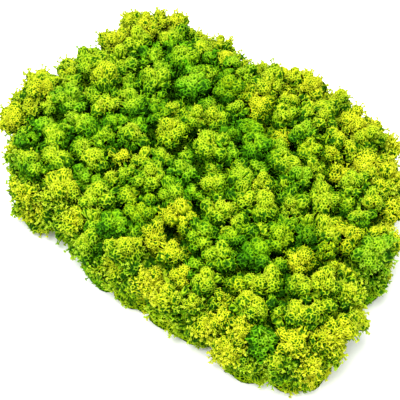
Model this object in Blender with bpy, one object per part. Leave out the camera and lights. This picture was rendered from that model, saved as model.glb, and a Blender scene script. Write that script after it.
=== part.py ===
"""A flat clump of cushion lichen, cut level beneath, with rounded heads crowded over its top and sides.

The clump is many tufts that grew side by side. Each tuft is one piece: a foot that stands on the ground and
a crown of a few rounded heads grown into one another. The tufts stand a hair's breadth apart. Lengths are in
metres, +Z is up, and the origin is on the ground under the middle tuft.
"""

import math

import bmesh
import bpy
import numpy as np

MM = 0.001

# The clump's outline seen from above, in millimetres, anticlockwise from its right-hand end
OUTLINE_MM = (
    (122, 2),
    (111, 29),
    (93, 56),
    (78, 78),
    (54, 84),
    (34, 90),
    (8, 94),
    (-22, 84),
    (-52, 87),
    (-86, 83),
    (-112, 67),
    (-111, 36),
    (-117, 14),
    (-127, -12),
    (-117, -40),
    (-98, -60),
    (-76, -81),
    (-46, -79),
    (-14, -92),
    (24, -91),
    (40, -94),
    (60, -89),
    (95, -93),
    (124, -72),
    (124, -36),
    (116, -17),
)
OUTLINE_STEPS = 12

# Height of the canopy, how far in from the rim it reaches that height, and its slow waves
CLUMP_HEIGHT = 50 * MM
RIM_HEIGHT = 22 * MM
RIM_ROLL = 30 * MM
WAVE_HEIGHT = 1.8 * MM
WAVE_LENGTH = 70 * MM
WAVE_BEND = 1.3
WAVE_SLANT = 0.3
LOWER_EDGE_TUCK = 7 * MM

# Tufts: how many there are, the gap between two of them and how domed their crowns are
TUFT_COUNT = 54
TUFT_GAP = 0.9 * MM
TUFT_CROWN_DROP = 6.8 * MM
TUFT_REACH = 19.5 * MM
TUFT_HEIGHT_SPREAD = 3 * MM
FOOT_RADIUS = 9 * MM
FOOT_ROWS = 5
BODY_RADIUS = 15.5 * MM
BODY_RIM_INSET = 1.5 * MM
CORE_HEIGHT_SHARE = 0.5
SETTLING_ROUNDS = 10
RIM_TUFT_INSET = 24 * MM

# Heads: their size, how near they stand to one another and how far they keep inside their own tuft
HEAD_RADIUS = 7.8 * MM
HEAD_RADIUS_SPREAD = 1.0 * MM
HEAD_SPACING = 10.4 * MM
HEAD_WALL_CLEARANCE = 2.6 * MM
HEAD_HEIGHT_SPREAD = 1.4 * MM
LOWEST_HEAD = 8 * MM

# How finely each tuft is worked out, and how many triangles it is left with, most of them in its crown
SPHERE_SUBDIVISIONS = 4
TUFT_TRIANGLES = 182
GROUND_SNAP = 1.2 * MM
CROWN_FLOOR = 10 * MM
CROWN_PLAINNESS = 0.1
FOOT_PLAINNESS = 0.6
CROWN_FAVOUR = 0.02

# The growth pattern's seed, and how closely the clump is searched for places to grow
SEED = 3
SAMPLE_STEP = 2.5 * MM
SIDE_ROWS = 8
LEAST_SPEED = 1e-9

# Young growth is yellow and old growth is green; the roughness is that of soft dyed lichen
OLD_GREEN = (0.07, 0.30, 0.012)
YOUNG_YELLOW = (0.56, 0.60, 0.015)
LICHEN_ROUGHNESS = 0.75

# How young the growth is from 0 to 1: everywhere, more at the rim, and more or less in these patches,
# each a place seen from above and a radius in millimetres
YOUTH_EVERYWHERE = 0.42
YOUTH_AT_RIM = 0.22
YOUTH_RIM_WIDTH = 14 * MM
YOUTH_IN_YOUNG_PATCH = 0.62
YOUTH_IN_OLD_PATCH = -0.3
YOUNG_PATCHES_MM = (
    (75, -84, 15),
    (29, -79, 13),
    (108, -70, 11),
    (91, -30, 12),
    (63, -66, 8),
    (114, -54, 8),
    (12, -50, 12),
    (0, 50, 10),
    (17, 40, 8),
    (66, 42, 11),
    (98, -4, 7),
    (-30, 6, 8),
)
OLD_PATCHES_MM = (
    (-45, 39, 17),
    (-46, -4, 11),
    (-78, 27, 13),
    (14, 15, 13),
    (-85, -20, 13),
    (-15, -16, 14),
    (19, -36, 9),
    (42, -57, 8),
    (50, 20, 12),
    (110, -3, 9),
    (99, -88, 9),
)


def clear_scene():
    """Remove every object that the new scene starts with."""
    for thing in list(bpy.data.objects):
        bpy.data.objects.remove(thing, do_unlink=True)


def smooth_outline():
    """Return the clump's closed outline: a Catmull-Rom curve through the outline's points."""
    points = np.array(OUTLINE_MM) * MM
    before = np.roll(points, 1, axis=0)
    after = np.roll(points, -1, axis=0)
    beyond = np.roll(points, -2, axis=0)
    t = (np.arange(OUTLINE_STEPS) / OUTLINE_STEPS)[None, :, None]
    p0, p1, p2, p3 = (p[:, None, :] for p in (before, points, after, beyond))
    curve = 0.5 * (
        2 * p1
        + (p2 - p0) * t
        + (2 * p0 - 5 * p1 + 4 * p2 - p3) * t**2
        + (3 * p1 - p0 - 3 * p2 + p3) * t**3
    )
    return curve.reshape(-1, 2)


def inset_from(outline, points):
    """Return how far inside the outline each plan point lies, negative where it is outside."""
    ends = np.roll(outline, -1, axis=0)
    away = points[:, None, :] - outline[None, :, :]
    run = (ends - outline)[None, :, :]
    along = np.clip((away * run).sum(axis=2) / (run * run).sum(axis=2), 0, 1)
    distance = np.linalg.norm(away - along[:, :, None] * run, axis=2).min(axis=1)
    x, y = points[:, 0:1], points[:, 1:2]
    spans = (outline[:, 1] > y) != (ends[:, 1] > y)
    rise = np.where(ends[:, 1] == outline[:, 1], 1.0, ends[:, 1] - outline[:, 1])
    crossing = outline[:, 0] + (y - outline[:, 1]) * (ends[:, 0] - outline[:, 0]) / rise
    inside = (spans & (x < crossing)).sum(axis=1) % 2 == 1
    return np.where(inside, distance, -distance)


def canopy_height(points, inset):
    """Return the canopy's height over plan points: a quarter ellipse up from the rim, then slow waves."""
    rise = np.clip(inset / RIM_ROLL, 0, 1)
    dome = np.sqrt(1 - (1 - rise) ** 2)
    x, y = points[:, 0] / WAVE_LENGTH, points[:, 1] / WAVE_LENGTH
    along = np.sin(math.tau * x + WAVE_BEND * np.cos(math.tau * y))
    waves = along * np.cos(math.tau * (y - WAVE_SLANT * x))
    return RIM_HEIGHT + (CLUMP_HEIGHT - RIM_HEIGHT + WAVE_HEIGHT * waves) * dome


def plan_samples(outline):
    """Return a grid of plan points inside the outline."""
    low, high = outline.min(axis=0), outline.max(axis=0)
    x = np.arange(low[0], high[0], SAMPLE_STEP)
    y = np.arange(low[1], high[1], SAMPLE_STEP)
    grid = np.stack(np.meshgrid(x, y), axis=-1).reshape(-1, 2)
    return grid[inset_from(outline, grid) > 0]


def place_roots(samples, random):
    """Return where the tufts stand: the first at the origin, the others settled evenly round it."""
    roots = samples[random.choice(len(samples), TUFT_COUNT, replace=False)]
    roots[0] = 0
    for _ in range(SETTLING_ROUNDS):
        owner = nearest(samples, roots)
        for index in range(1, TUFT_COUNT):
            roots[index] = samples[owner == index].mean(axis=0)
    return roots


def nearest(points, roots):
    """Return for each plan point the index of the root nearest to it."""
    return np.linalg.norm(points[:, None, :2] - roots[None, :, :], axis=2).argmin(axis=1)


def walls_between(roots):
    """Return, for each pair of tufts, the upright wall halfway between them as a normal and an offset."""
    apart = roots[None, :, :] - roots[:, None, :]
    distance = np.linalg.norm(apart, axis=2)
    np.fill_diagonal(distance, 1)
    normals = apart / distance[:, :, None]
    middles = (roots[None, :, :] + roots[:, None, :]) / 2
    offsets = (normals * middles).sum(axis=2)
    np.fill_diagonal(offsets, np.inf)
    return normals, offsets


def wall_clearance(points, owner, normals, offsets):
    """Return how far each plan point is from the nearest wall of the tuft that holds it."""
    reach = (normals[owner] * points[:, None, :2]).sum(axis=2)
    return (offsets[owner] - reach).min(axis=1)


def head_candidates(outline, samples, roots, random):
    """Return points where the middle of a head may be: under the canopy and down inside the rim."""
    spread = random.uniform(-0.5, 0.5, samples.shape) * SAMPLE_STEP
    top = samples + spread
    inset = inset_from(outline, top)
    top, inset = top[inset > HEAD_RADIUS], inset[inset > HEAD_RADIUS]
    top_height = canopy_height(top, inset) - HEAD_RADIUS
    side, side_height = side_candidates(outline)
    points = np.vstack([top, side])
    heights = np.concatenate([top_height, side_height])
    owner = nearest(points, roots)
    from_root = np.linalg.norm(points - roots[owner], axis=1)
    drop = TUFT_CROWN_DROP * np.minimum(from_root / TUFT_REACH, 1) ** 2
    lift = random.uniform(-1, 1, TUFT_COUNT)[owner] * TUFT_HEIGHT_SPREAD
    is_top = np.arange(len(points)) < len(top)
    heights += np.where(is_top, lift - drop, 0) + random.uniform(-1, 1, len(points)) * HEAD_HEIGHT_SPREAD
    return np.column_stack([points, np.maximum(heights, LOWEST_HEAD)]), owner


def side_candidates(outline):
    """Return points just inside the rim, at all heights under it, drawn in a little towards the ground."""
    middle = outline.mean(axis=0)
    inward = middle - outline
    inward /= np.linalg.norm(inward, axis=1)[:, None]
    rows = np.linspace(0, 1, SIDE_ROWS)
    row = np.repeat(rows, len(outline))
    tuck = HEAD_RADIUS + LOWER_EDGE_TUCK * (1 - row) ** 2
    side = np.tile(outline, (len(rows), 1)) + np.tile(inward, (len(rows), 1)) * tuck[:, None]
    top = canopy_height(side, np.full(len(side), HEAD_RADIUS)) - HEAD_RADIUS
    return side, LOWEST_HEAD + (top - LOWEST_HEAD) * row


def place_heads(outline, samples, roots, random):
    """Return the heads' middles, radii and tufts: each new head goes where the canopy is barest."""
    candidates, owner = head_candidates(outline, samples, roots, random)
    normals, offsets = walls_between(roots)
    clear = wall_clearance(candidates, owner, normals, offsets) > HEAD_WALL_CLEARANCE
    candidates, owner = candidates[clear], owner[clear]
    first = np.linalg.norm(candidates[:, :2], axis=1).argmin()
    chosen = [first]
    bareness = np.linalg.norm(candidates - candidates[first], axis=1)
    while bareness.max() > HEAD_SPACING:
        chosen.append(bareness.argmax())
        bareness = np.minimum(bareness, np.linalg.norm(candidates - candidates[chosen[-1]], axis=1))
    centres = candidates[chosen]
    radii = HEAD_RADIUS + random.uniform(-1, 1, len(chosen)) * HEAD_RADIUS_SPREAD
    return centres, radii, owner[chosen]


def reach_of_spheres(core, directions, centres, radii):
    """Return how far a ray from the core goes along each direction before it leaves the last sphere."""
    away = centres - core
    along = directions @ away.T
    squared_miss = (away * away).sum(axis=1) - along**2
    inside = radii**2 - squared_miss
    exits = np.where(inside > 0, along + np.sqrt(np.maximum(inside, 0)), 0)
    return exits.max(axis=1)


def reach_of_walls(core, directions, normals, offsets):
    """Return how far a ray from the core goes before it meets a wall of the tuft's cell or the ground."""
    speed = np.maximum(directions[:, :2] @ normals.T, LEAST_SPEED)
    room = offsets - TUFT_GAP / 2 - normals @ core[:2]
    fall = np.maximum(-directions[:, 2], LEAST_SPEED)
    return np.minimum((room / speed).min(axis=1), core[2] / fall)


def foot_and_body(root, core, body_radius):
    """Return the spheres that make a tuft's foot, from the ground up, and its body round the core."""
    heights = np.linspace(0, core[2], FOOT_ROWS)
    centres = np.column_stack([np.tile(root, (FOOT_ROWS, 1)), heights])
    radii = np.full(FOOT_ROWS, FOOT_RADIUS)
    radii[-1] = body_radius
    return centres, radii


def tuft_mesh(name, root, body_radius, heads, head_radii, normals, offsets):
    """Return a tuft's mesh about its root: a sphere of points, each pushed out to the crown or the foot."""
    core = np.array([*root, CORE_HEIGHT_SHARE * heads[:, 2].max()])
    foot, foot_radii = foot_and_body(root, core, body_radius)
    work = bmesh.new()
    bmesh.ops.create_icosphere(work, subdivisions=SPHERE_SUBDIVISIONS, radius=1)
    directions = np.array([v.co for v in work.verts])
    directions /= np.linalg.norm(directions, axis=1)[:, None]
    centres = np.vstack([heads, foot])
    radii = np.concatenate([head_radii, foot_radii])
    reach = reach_of_spheres(core, directions, centres, radii)
    reach = np.minimum(reach, reach_of_walls(core, directions, normals, offsets))
    places = core + directions * reach[:, None] - np.array([*root, 0])
    for vert, place in zip(work.verts, places):
        vert.co = place
    mesh = bpy.data.meshes.new(name)
    work.to_mesh(mesh)
    work.free()
    return mesh


def thin_out(tuft):
    """Reduce a tuft's mesh to its few triangles, keeping most of them for the crown's lumps."""
    plainness = tuft.vertex_groups.new(name="plainness")
    for vert in tuft.data.vertices:
        weight = CROWN_PLAINNESS if vert.co.z > CROWN_FLOOR else FOOT_PLAINNESS
        plainness.add([vert.index], weight, "REPLACE")
    thin = tuft.modifiers.new("thin", "DECIMATE")
    thin.ratio = TUFT_TRIANGLES / len(tuft.data.polygons)
    thin.vertex_group = plainness.name
    thin.vertex_group_factor = CROWN_FAVOUR
    bpy.context.view_layer.update()
    evaluated = tuft.evaluated_get(bpy.context.evaluated_depsgraph_get())
    mesh = bpy.data.meshes.new_from_object(evaluated)
    mesh.name = tuft.data.name
    tuft.modifiers.remove(thin)
    full = tuft.data
    tuft.data = mesh
    bpy.data.meshes.remove(full)


def keep_in_cell(tuft, normals, offsets):
    """Move any point that strayed past the tuft's own walls or the ground back to them."""
    mesh = tuft.data
    places = np.empty(len(mesh.vertices) * 3)
    mesh.vertices.foreach_get("co", places)
    places = places.reshape(-1, 3)
    root = np.array(tuft.location)[:2]
    for normal, offset in zip(normals, offsets):
        excess = places[:, :2] @ normal - (offset - TUFT_GAP / 2 - normal @ root)
        places[:, :2] -= np.maximum(excess, 0)[:, None] * normal
    places[places[:, 2] < GROUND_SNAP, 2] = 0
    mesh.vertices.foreach_set("co", places.ravel())
    mesh.update()


def patch_strength(points, patches_mm):
    """Return how strongly plan points lie in any of the patches, from 0 to 1, fading like a bell."""
    patches = np.array(patches_mm) * MM
    distance = np.linalg.norm(points[:, None, :] - patches[None, :, :2], axis=2)
    return np.exp(-((distance / patches[:, 2]) ** 2)).max(axis=1)


def youth_at(points, inset):
    """Return how young the growth is at plan points that lie this far inside the rim."""
    youth = YOUTH_EVERYWHERE + YOUTH_AT_RIM * np.exp(-np.maximum(inset, 0) / YOUTH_RIM_WIDTH)
    youth += YOUTH_IN_YOUNG_PATCH * patch_strength(points, YOUNG_PATCHES_MM)
    youth += YOUTH_IN_OLD_PATCH * patch_strength(points, OLD_PATCHES_MM)
    return np.clip(youth, 0, 1)


def lichen_material(name, youth):
    """Return a tuft's material, whose colour goes from green to yellow with its youth from 0 to 1."""
    material = bpy.data.materials.new(name)
    material.use_nodes = True
    shader = material.node_tree.nodes["Principled BSDF"]
    colour = np.array(OLD_GREEN) * (1 - youth) + np.array(YOUNG_YELLOW) * youth
    shader.inputs["Base Color"].default_value = (*colour, 1)
    shader.inputs["Roughness"].default_value = LICHEN_ROUGHNESS
    shader.inputs["Metallic"].default_value = 0
    material.diffuse_color = (*colour, 1)
    return material


def tuft_names(inset):
    """Return the tufts' names: those near the outline are rim tufts and the others middle tufts."""
    names = []
    counts = {"middle": 0, "rim": 0}
    for distance in inset:
        place = "rim" if distance < RIM_TUFT_INSET else "middle"
        counts[place] += 1
        names.append(f"{place}_tuft_{counts[place]:02d}")
    return names


def build_clump():
    """Build every tuft of the clump under one empty on the ground."""
    random = np.random.default_rng(SEED)
    outline = smooth_outline()
    samples = plan_samples(outline)
    roots = place_roots(samples, random)
    heads, radii, owner = place_heads(outline, samples, roots, random)
    normals, offsets = walls_between(roots)
    inset = inset_from(outline, roots)
    body_radii = np.minimum(BODY_RADIUS, inset - BODY_RIM_INSET)
    youths = youth_at(roots, inset)
    clump = bpy.data.objects.new("clump", None)
    bpy.context.collection.objects.link(clump)
    for index, name in enumerate(tuft_names(inset)):
        own = owner == index
        walls = normals[index], offsets[index]
        mesh = tuft_mesh(name, roots[index], body_radii[index], heads[own], radii[own], *walls)
        tuft = bpy.data.objects.new(name, mesh)
        bpy.context.collection.objects.link(tuft)
        tuft.parent = clump
        tuft.location = (*roots[index], 0)
        thin_out(tuft)
        keep_in_cell(tuft, *walls)
        tuft.data.shade_smooth()
        tuft.data.materials.append(lichen_material(f"{name}_lichen", youths[index]))


clear_scene()
build_clump()
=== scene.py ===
"""The looks of a clump of preserved cushion lichen, dyed green and yellow, built round its packed tufts.

Each tuft gets one piece of branchwork in place of its plain solid. A floret is a cluster of knobs round a
ball, and over each knob lies a shell of small crowded cells with a pit in every cell, so that their walls
show as a net of branchlets. Short points and forked sprays stand out of the net, stalks rise from the cut
foot, and a dense heart, coloured near black-green as painted shade, fills the tuft. Light and shade are
painted into the colours too: pits and shaded places darker, lit tops lighter and yellower. Lengths are in
metres and +Z is up.
"""

from __future__ import annotations

import logging
import math
from dataclasses import dataclass, field
from enum import Enum

import bpy
import numpy as np
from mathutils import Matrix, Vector

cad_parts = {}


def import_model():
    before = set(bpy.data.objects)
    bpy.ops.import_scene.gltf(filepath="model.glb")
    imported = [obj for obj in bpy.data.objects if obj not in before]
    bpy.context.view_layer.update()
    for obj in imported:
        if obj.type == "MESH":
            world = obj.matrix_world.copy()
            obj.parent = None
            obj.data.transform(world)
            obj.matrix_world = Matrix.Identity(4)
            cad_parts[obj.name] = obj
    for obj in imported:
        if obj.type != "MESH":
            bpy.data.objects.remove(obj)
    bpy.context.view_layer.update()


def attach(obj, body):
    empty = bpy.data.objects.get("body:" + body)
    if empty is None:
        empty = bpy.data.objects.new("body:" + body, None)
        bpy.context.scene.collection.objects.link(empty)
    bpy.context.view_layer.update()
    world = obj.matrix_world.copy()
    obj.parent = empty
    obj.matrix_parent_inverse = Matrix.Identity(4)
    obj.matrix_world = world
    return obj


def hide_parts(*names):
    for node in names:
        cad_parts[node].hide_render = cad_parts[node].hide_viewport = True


MM = 0.001
SEED = 3
GOLDEN_TURN = math.pi * (3 - math.sqrt(5))
TINY = 1e-12
SLOWEST = 1e-9
BODY = "root"
LIME_FROM = 0.4
YELLOW_FROM = 0.6
LOG = logging.getLogger("lichen_clump")

Array = np.ndarray
Shape = tuple[Array, Array]
Colour = tuple[float, float, float]
Patches = tuple[tuple[float, float, float], ...]


class Slot(Enum):
    """The record's material slots, from the greenest tufts to the yellowest."""

    GREEN = "green_lichen"
    LIME = "lime_lichen"
    YELLOW = "yellow_lichen"

    @staticmethod
    def for_youth(youth: float) -> Slot:
        """Pick the slot of a tuft.

        Args:
            youth: How young its growth is, from 0 to 1.

        Returns:
            Its slot.
        """
        if youth < LIME_FROM:
            return Slot.GREEN
        return Slot.LIME if youth < YELLOW_FROM else Slot.YELLOW


class Skin(Enum):
    """Which of a tuft's two finishes a face has, as its material index."""

    BRANCH = 0
    HEART = 1


# Whole-array geometry


def unit(vectors: Array) -> Array:
    """Return the vectors at length one."""
    return vectors / np.maximum(np.linalg.norm(vectors, axis=-1, keepdims=True), TINY)


def spiral_cap(count: int, widest: float, twist: Array) -> Array:
    """Spread points evenly over caps of the unit sphere round +Z.

    Point i has height 1 - (i + 0.5) / count * (1 - cos(widest)) and is turned i golden angles about +Z.

    Args:
        count: Points on each cap.
        widest: The cap's angle from +Z to its edge, in radians.
        twist: A turn about +Z for each cap, in radians.

    Returns:
        Directions as an array of caps x count x 3.
    """
    height = 1 - (np.arange(count) + 0.5) / count * (1 - math.cos(widest))
    turn = np.arange(count) * GOLDEN_TURN + twist[:, None]
    across = np.sqrt(1 - height**2)
    upward = np.broadcast_to(height, turn.shape)
    return np.stack([across * np.cos(turn), across * np.sin(turn), upward], axis=-1)


def square_to(ways: Array, runs: Array, steepest: float = 0.8) -> tuple[Array, Array]:
    """Find two directions square to each way and to one another.

    The first is the way crossed with +Z, or with +X where the run is steep. The second is the way crossed
    with the first.

    Args:
        ways: Unit directions.
        runs: Unit directions that say which ways count as steep, often the ways themselves.
        steepest: The greatest height of a run that isn't steep.

    Returns:
        The first and the second directions.
    """
    helper = np.where(np.abs(runs[..., 2:3]) < steepest, [0.0, 0.0, 1.0], [1.0, 0.0, 0.0])
    first = unit(np.cross(ways, helper))
    return first, np.cross(ways, first)


def turn_onto(directions: Array, axes: Array) -> Array:
    """Return directions round +Z, axes x count x 3, turned so that they lie round the unit axes, axes x 3."""
    first, second = square_to(axes, axes, steepest=0.9)
    return directions @ np.stack([-first, -second, axes], axis=1)


def bent_paths(starts: Array, ends: Array, leave: Array, arrive: Array, rows: int) -> Array:
    """Draw a cubic Bezier curve between each pair of ends.

    The curve's two inner handles are the start plus `leave` and the end minus `arrive`.

    Args:
        starts: First points, n x 3.
        ends: Last points, n x 3.
        leave: Handle from each start, n x 3.
        arrive: Handle into each end, n x 3.
        rows: Points on each curve.

    Returns:
        The curves as an array of n x rows x 3.
    """
    t = np.linspace(0, 1, rows)[None, :, None]
    handles = (starts, starts + leave, ends - arrive, ends)
    weights = ((1 - t) ** 3, 3 * t * (1 - t) ** 2, 3 * t**2 * (1 - t), t**3)
    return sum(weight * handle[:, None, :] for weight, handle in zip(weights, handles))


def carry_profile(paths: Array, radii: Array, sides: int) -> Shape:
    """Carry a round profile along many paths at once and cap both ends.

    A ring's point j is the path's point plus its radius times (cos(a) u + sin(a) v), where a is j turns over
    `sides`, and u and v are square to the path and to each other.

    Args:
        paths: n x rows x 3 points.
        radii: n x rows radii.
        sides: Corners of the profile.

    Returns:
        The points and the triangles.
    """
    count, rows = radii.shape
    u, v = square_to(unit(np.gradient(paths, axis=1)), unit(paths[:, -1] - paths[:, 0])[:, None])
    angle = math.tau * np.arange(sides) / sides
    round_about = np.cos(angle)[:, None] * u[:, :, None] + np.sin(angle)[:, None] * v[:, :, None]
    points = paths[:, :, None, :] + radii[:, :, None, None] * round_about
    path, row, side = np.ogrid[:count, : rows - 1, :sides]
    here = (path * rows + row) * sides + side
    beside = (path * rows + row) * sides + (side + 1) % sides
    quads = np.stack([here, beside, beside + sides, here + sides], axis=-1).reshape(-1, 4)
    fan = np.arange(1, sides - 1)[None, :, None]
    start_fan = np.concatenate([0 * fan, fan + 1, fan], axis=-1)
    end_fan = np.concatenate([0 * fan, fan, fan + 1], axis=-1) + (rows - 1) * sides
    caps = np.concatenate([start_fan, end_fan], axis=1) + (np.arange(count) * rows * sides)[:, None, None]
    triangles = np.concatenate([quads[:, [0, 1, 2]], quads[:, [0, 2, 3]], caps.reshape(-1, 3)])
    return points.reshape(-1, 3), triangles


def ring_round(middles: Array, ways: Array, radii: Array) -> Array:
    """Set three corners round each middle, a third of a turn apart.

    A corner is the middle plus its radius times (cos(a) u + sin(a) v), where a is its turn.

    Args:
        middles: n x 3 points.
        ways: n x 3 unit directions, to which u and v are square.
        radii: n radii.

    Returns:
        The corners as an array of n x 3 x 3.
    """
    u, v = square_to(ways, ways)
    angle = math.tau * np.arange(3) / 3
    ring = np.cos(angle)[:, None] * u[:, None] + np.sin(angle)[:, None] * v[:, None]
    return middles[:, None] + radii[:, None, None] * ring


def repeated(corners: Array, one: list[tuple[int, int, int]]) -> Shape:
    """Return many small shapes as one, given the corners of each, n x corners x 3, and one's triangles."""
    triangles = np.array(one)[None] + (corners.shape[1] * np.arange(len(corners)))[:, None, None]
    return corners.reshape(-1, 3), triangles.reshape(-1, 3)


def spikes(feet: Array, ways: Array, lengths: Array, radii: Array) -> Shape:
    """Make three-sided pointed spikes, each a closed pyramid.

    A spike's three corners stand round its foot, and its point is the foot plus its length along its way.

    Args:
        feet: n x 3 foot points.
        ways: n x 3 unit directions.
        lengths: n lengths.
        radii: n foot radii.

    Returns:
        The points and the triangles.
    """
    ends = feet + lengths[:, None] * ways
    corners = np.concatenate([ring_round(feet, ways, radii), ends[:, None]], axis=1)
    return repeated(corners, [(0, 1, 3), (1, 2, 3), (2, 0, 3), (0, 2, 1)])


def clubs(feet: Array, ways: Array, lengths: Array, radii: Array, widest: float) -> Shape:
    """Make three-sided clubs, each two closed pyramids foot to foot.

    A club's three corners stand round the point at the share `widest` of its length along its way.

    Args:
        feet: n x 3 foot points.
        ways: n x 3 unit directions.
        lengths: n lengths.
        radii: n radii at the thickest place.
        widest: How far along a club is thickest, from 0 to 1.

    Returns:
        The points and the triangles.
    """
    along = lengths[:, None] * ways
    ring = ring_round(feet + widest * along, ways, radii)
    corners = np.concatenate([feet[:, None], ring, (feet + along)[:, None]], axis=1)
    return repeated(corners, [(0, 2, 1), (0, 3, 2), (0, 1, 3), (1, 2, 4), (2, 3, 4), (3, 1, 4)])


def reach_of_spheres(core: Array, ways: Array, middles: Array, radii: Array) -> Array:
    """Find how far a ray from the core goes along each way before it leaves the last sphere.

    For a sphere whose middle lies m along the ray and d beside it, that is m + sqrt(radius² - d²).

    Args:
        core: The rays' start.
        ways: n x 3 unit directions.
        middles: The spheres' middles.
        radii: The spheres' radii.

    Returns:
        n distances, 0 where a ray meets no sphere.
    """
    away = middles - core
    along = ways @ away.T
    inside = radii**2 - (away * away).sum(axis=1) + along**2
    return np.where(inside > 0, along + np.sqrt(np.maximum(inside, 0)), 0).max(axis=1)


def honeycomb(pitch: float, reach: float, random: np.random.Generator) -> tuple[Array, Array]:
    """Lay a honeycomb over a patch of the plane a little wider than a disc, turned and shifted at random.

    Its corners come in pairs: an inner corner at i a + j b and an outer one a third of a + b further on,
    where a and b are steps of one pitch, a sixth of a turn apart. A cell's middle lies another third further.

    Args:
        pitch: The distance from cell to cell.
        reach: The disc's radius.
        random: Where the turn and the shift come from.

    Returns:
        The inner corners, the outer ones and the cells' middles as one array, and each cell's six corners,
        anticlockwise.
    """
    wider, rim_cells = 1.2, 2
    half = math.ceil(wider * reach / pitch) + rim_cells
    i, j = np.meshgrid(np.arange(-half, half + 1), np.arange(-half, half + 1), indexing="ij")
    turn, shift = random.uniform(0, math.tau), random.uniform(0, pitch, 2)
    a, b = (pitch * np.array([math.cos(way), math.sin(way)]) for way in (turn, turn + math.pi / 3))
    inner = (i[..., None] * a + j[..., None] * b).reshape(-1, 2) + shift
    count, number = i.size, np.arange(i.size).reshape(i.shape)
    steps = ((0, 0), (-1, 0), (0, -1), (-1, -1))
    beyond = {step: np.roll(number, step, axis=(0, 1)).ravel() for step in steps}
    inner_ring = [beyond[-1, -1], beyond[0, -1], beyond[-1, 0]]
    outer_ring = [beyond[0, -1] + count, beyond[0, 0] + count, beyond[-1, 0] + count]
    rings = np.stack([corner for pair in zip(inner_ring, outer_ring) for corner in pair], axis=1)
    return np.concatenate([inner, inner + (a + b) / 3, inner + 2 * (a + b) / 3]), rings


def ball(rows: int, columns: int) -> Shape:
    """Return the points and triangles of a unit ball round +Z.

    The point at row r and column c lies at the polar angle r and bearing c; one more point closes each pole.

    Args:
        rows: Rings of points between the poles.
        columns: Points in each ring.

    Returns:
        The points and the triangles, facing outwards.
    """
    polar = np.linspace(0, math.pi, rows + 2)[1:-1]
    bearing = math.tau * np.arange(columns) / columns
    p, b = np.meshgrid(polar, bearing, indexing="ij")
    points = np.stack([np.sin(p) * np.cos(b), np.sin(p) * np.sin(b), np.cos(p)], axis=-1).reshape(-1, 3)
    row, column = np.ogrid[: rows - 1, :columns]
    here, beside = row * columns + column, row * columns + (column + 1) % columns
    quads = np.stack([here, here + columns, beside + columns, beside], axis=-1).reshape(-1, 4)
    first, after, last = np.arange(columns), (np.arange(columns) + 1) % columns, (rows - 1) * columns
    over = np.stack([first, after, np.full(columns, rows * columns)], axis=-1)
    under = np.stack([last + after, last + first, np.full(columns, rows * columns + 1)], axis=-1)
    triangles = np.concatenate([quads[:, [0, 1, 2]], quads[:, [0, 2, 3]], over, under])
    return np.concatenate([points, [[0, 0, 1], [0, 0, -1]]]), triangles


def drawn_in(triangles: Array, foot: int) -> Array:
    """Close an open surface by drawing its edges in to one point.

    An edge belongs to the surface's border if no triangle runs along it the other way.

    Args:
        triangles: The surface's triangles.
        foot: The point's number.

    Returns:
        The triangles from the border to the point.
    """
    edges = np.concatenate([triangles[:, [0, 1]], triangles[:, [1, 2]], triangles[:, [2, 0]]])
    size = max(edges.max(), foot) + 1
    there, back = edges[:, 0] * size + edges[:, 1], edges[:, 1] * size + edges[:, 0]
    border = edges[~np.isin(there, back)]
    return np.column_stack([border[:, 1], border[:, 0], np.full(len(border), foot)])


@dataclass
class Growth:
    """The triangles of one tuft, gathered as whole arrays before they become its mesh."""

    points: list[Array] = field(default_factory=list)
    triangles: list[Array] = field(default_factory=list)
    tips_and_shade: list[Array] = field(default_factory=list)
    youths: list[Array] = field(default_factory=list)
    skins: list[Array] = field(default_factory=list)
    size: int = 0

    def add(self, shape: Shape, tips_and_shade: Array, youths: Array, skin: Skin = Skin.BRANCH) -> None:
        """Add a shape's points and triangles.

        Args:
            shape: The points and the triangles.
            tips_and_shade: How near each point is to the branch ends, 1 at an end, 0 and less deep inside, -6
                at the cut, with painted light and shade: lower in pits and shaded places, higher on lit tops.
            youths: How young the growth is at each point, from 0 to 1, with painted light and shade: yellower
                where lit, greener in shade.
            skin: The finish of the shape's faces.
        """
        points, triangles = shape
        self.points.append(points)
        self.triangles.append(triangles + self.size)
        self.tips_and_shade.append(tips_and_shade)
        self.youths.append(youths)
        self.skins.append(np.full(len(triangles), skin.value))
        self.size += len(points)

    def to_mesh(self, name: str) -> bpy.types.Mesh:
        """Make the gathered triangles one mesh, with its points' tip values and youths, which carry painted
        light and shade, as attributes.

        Args:
            name: The mesh's name.

        Returns:
            The mesh.
        """
        points = np.concatenate(self.points)
        triangles = np.concatenate(self.triangles)
        mesh = bpy.data.meshes.new(name)
        mesh.vertices.add(len(points))
        mesh.vertices.foreach_set("co", points.astype(np.float32).ravel())
        mesh.loops.add(triangles.size)
        mesh.loops.foreach_set("vertex_index", triangles.astype(np.int32).ravel())
        mesh.polygons.add(len(triangles))
        mesh.polygons.foreach_set("loop_start", np.arange(0, triangles.size, 3, dtype=np.int32))
        mesh.polygons.foreach_set("material_index", np.concatenate(self.skins).astype(np.int32))
        mesh.update(calc_edges=True)
        for label, values in (("tip_and_shade", self.tips_and_shade), ("youth", self.youths)):
            attribute = mesh.attributes.new(label, "FLOAT", "POINT")
            attribute.data.foreach_set("value", np.concatenate(values).astype(np.float32))
        return mesh


# Where the tufts and heads stand


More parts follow.
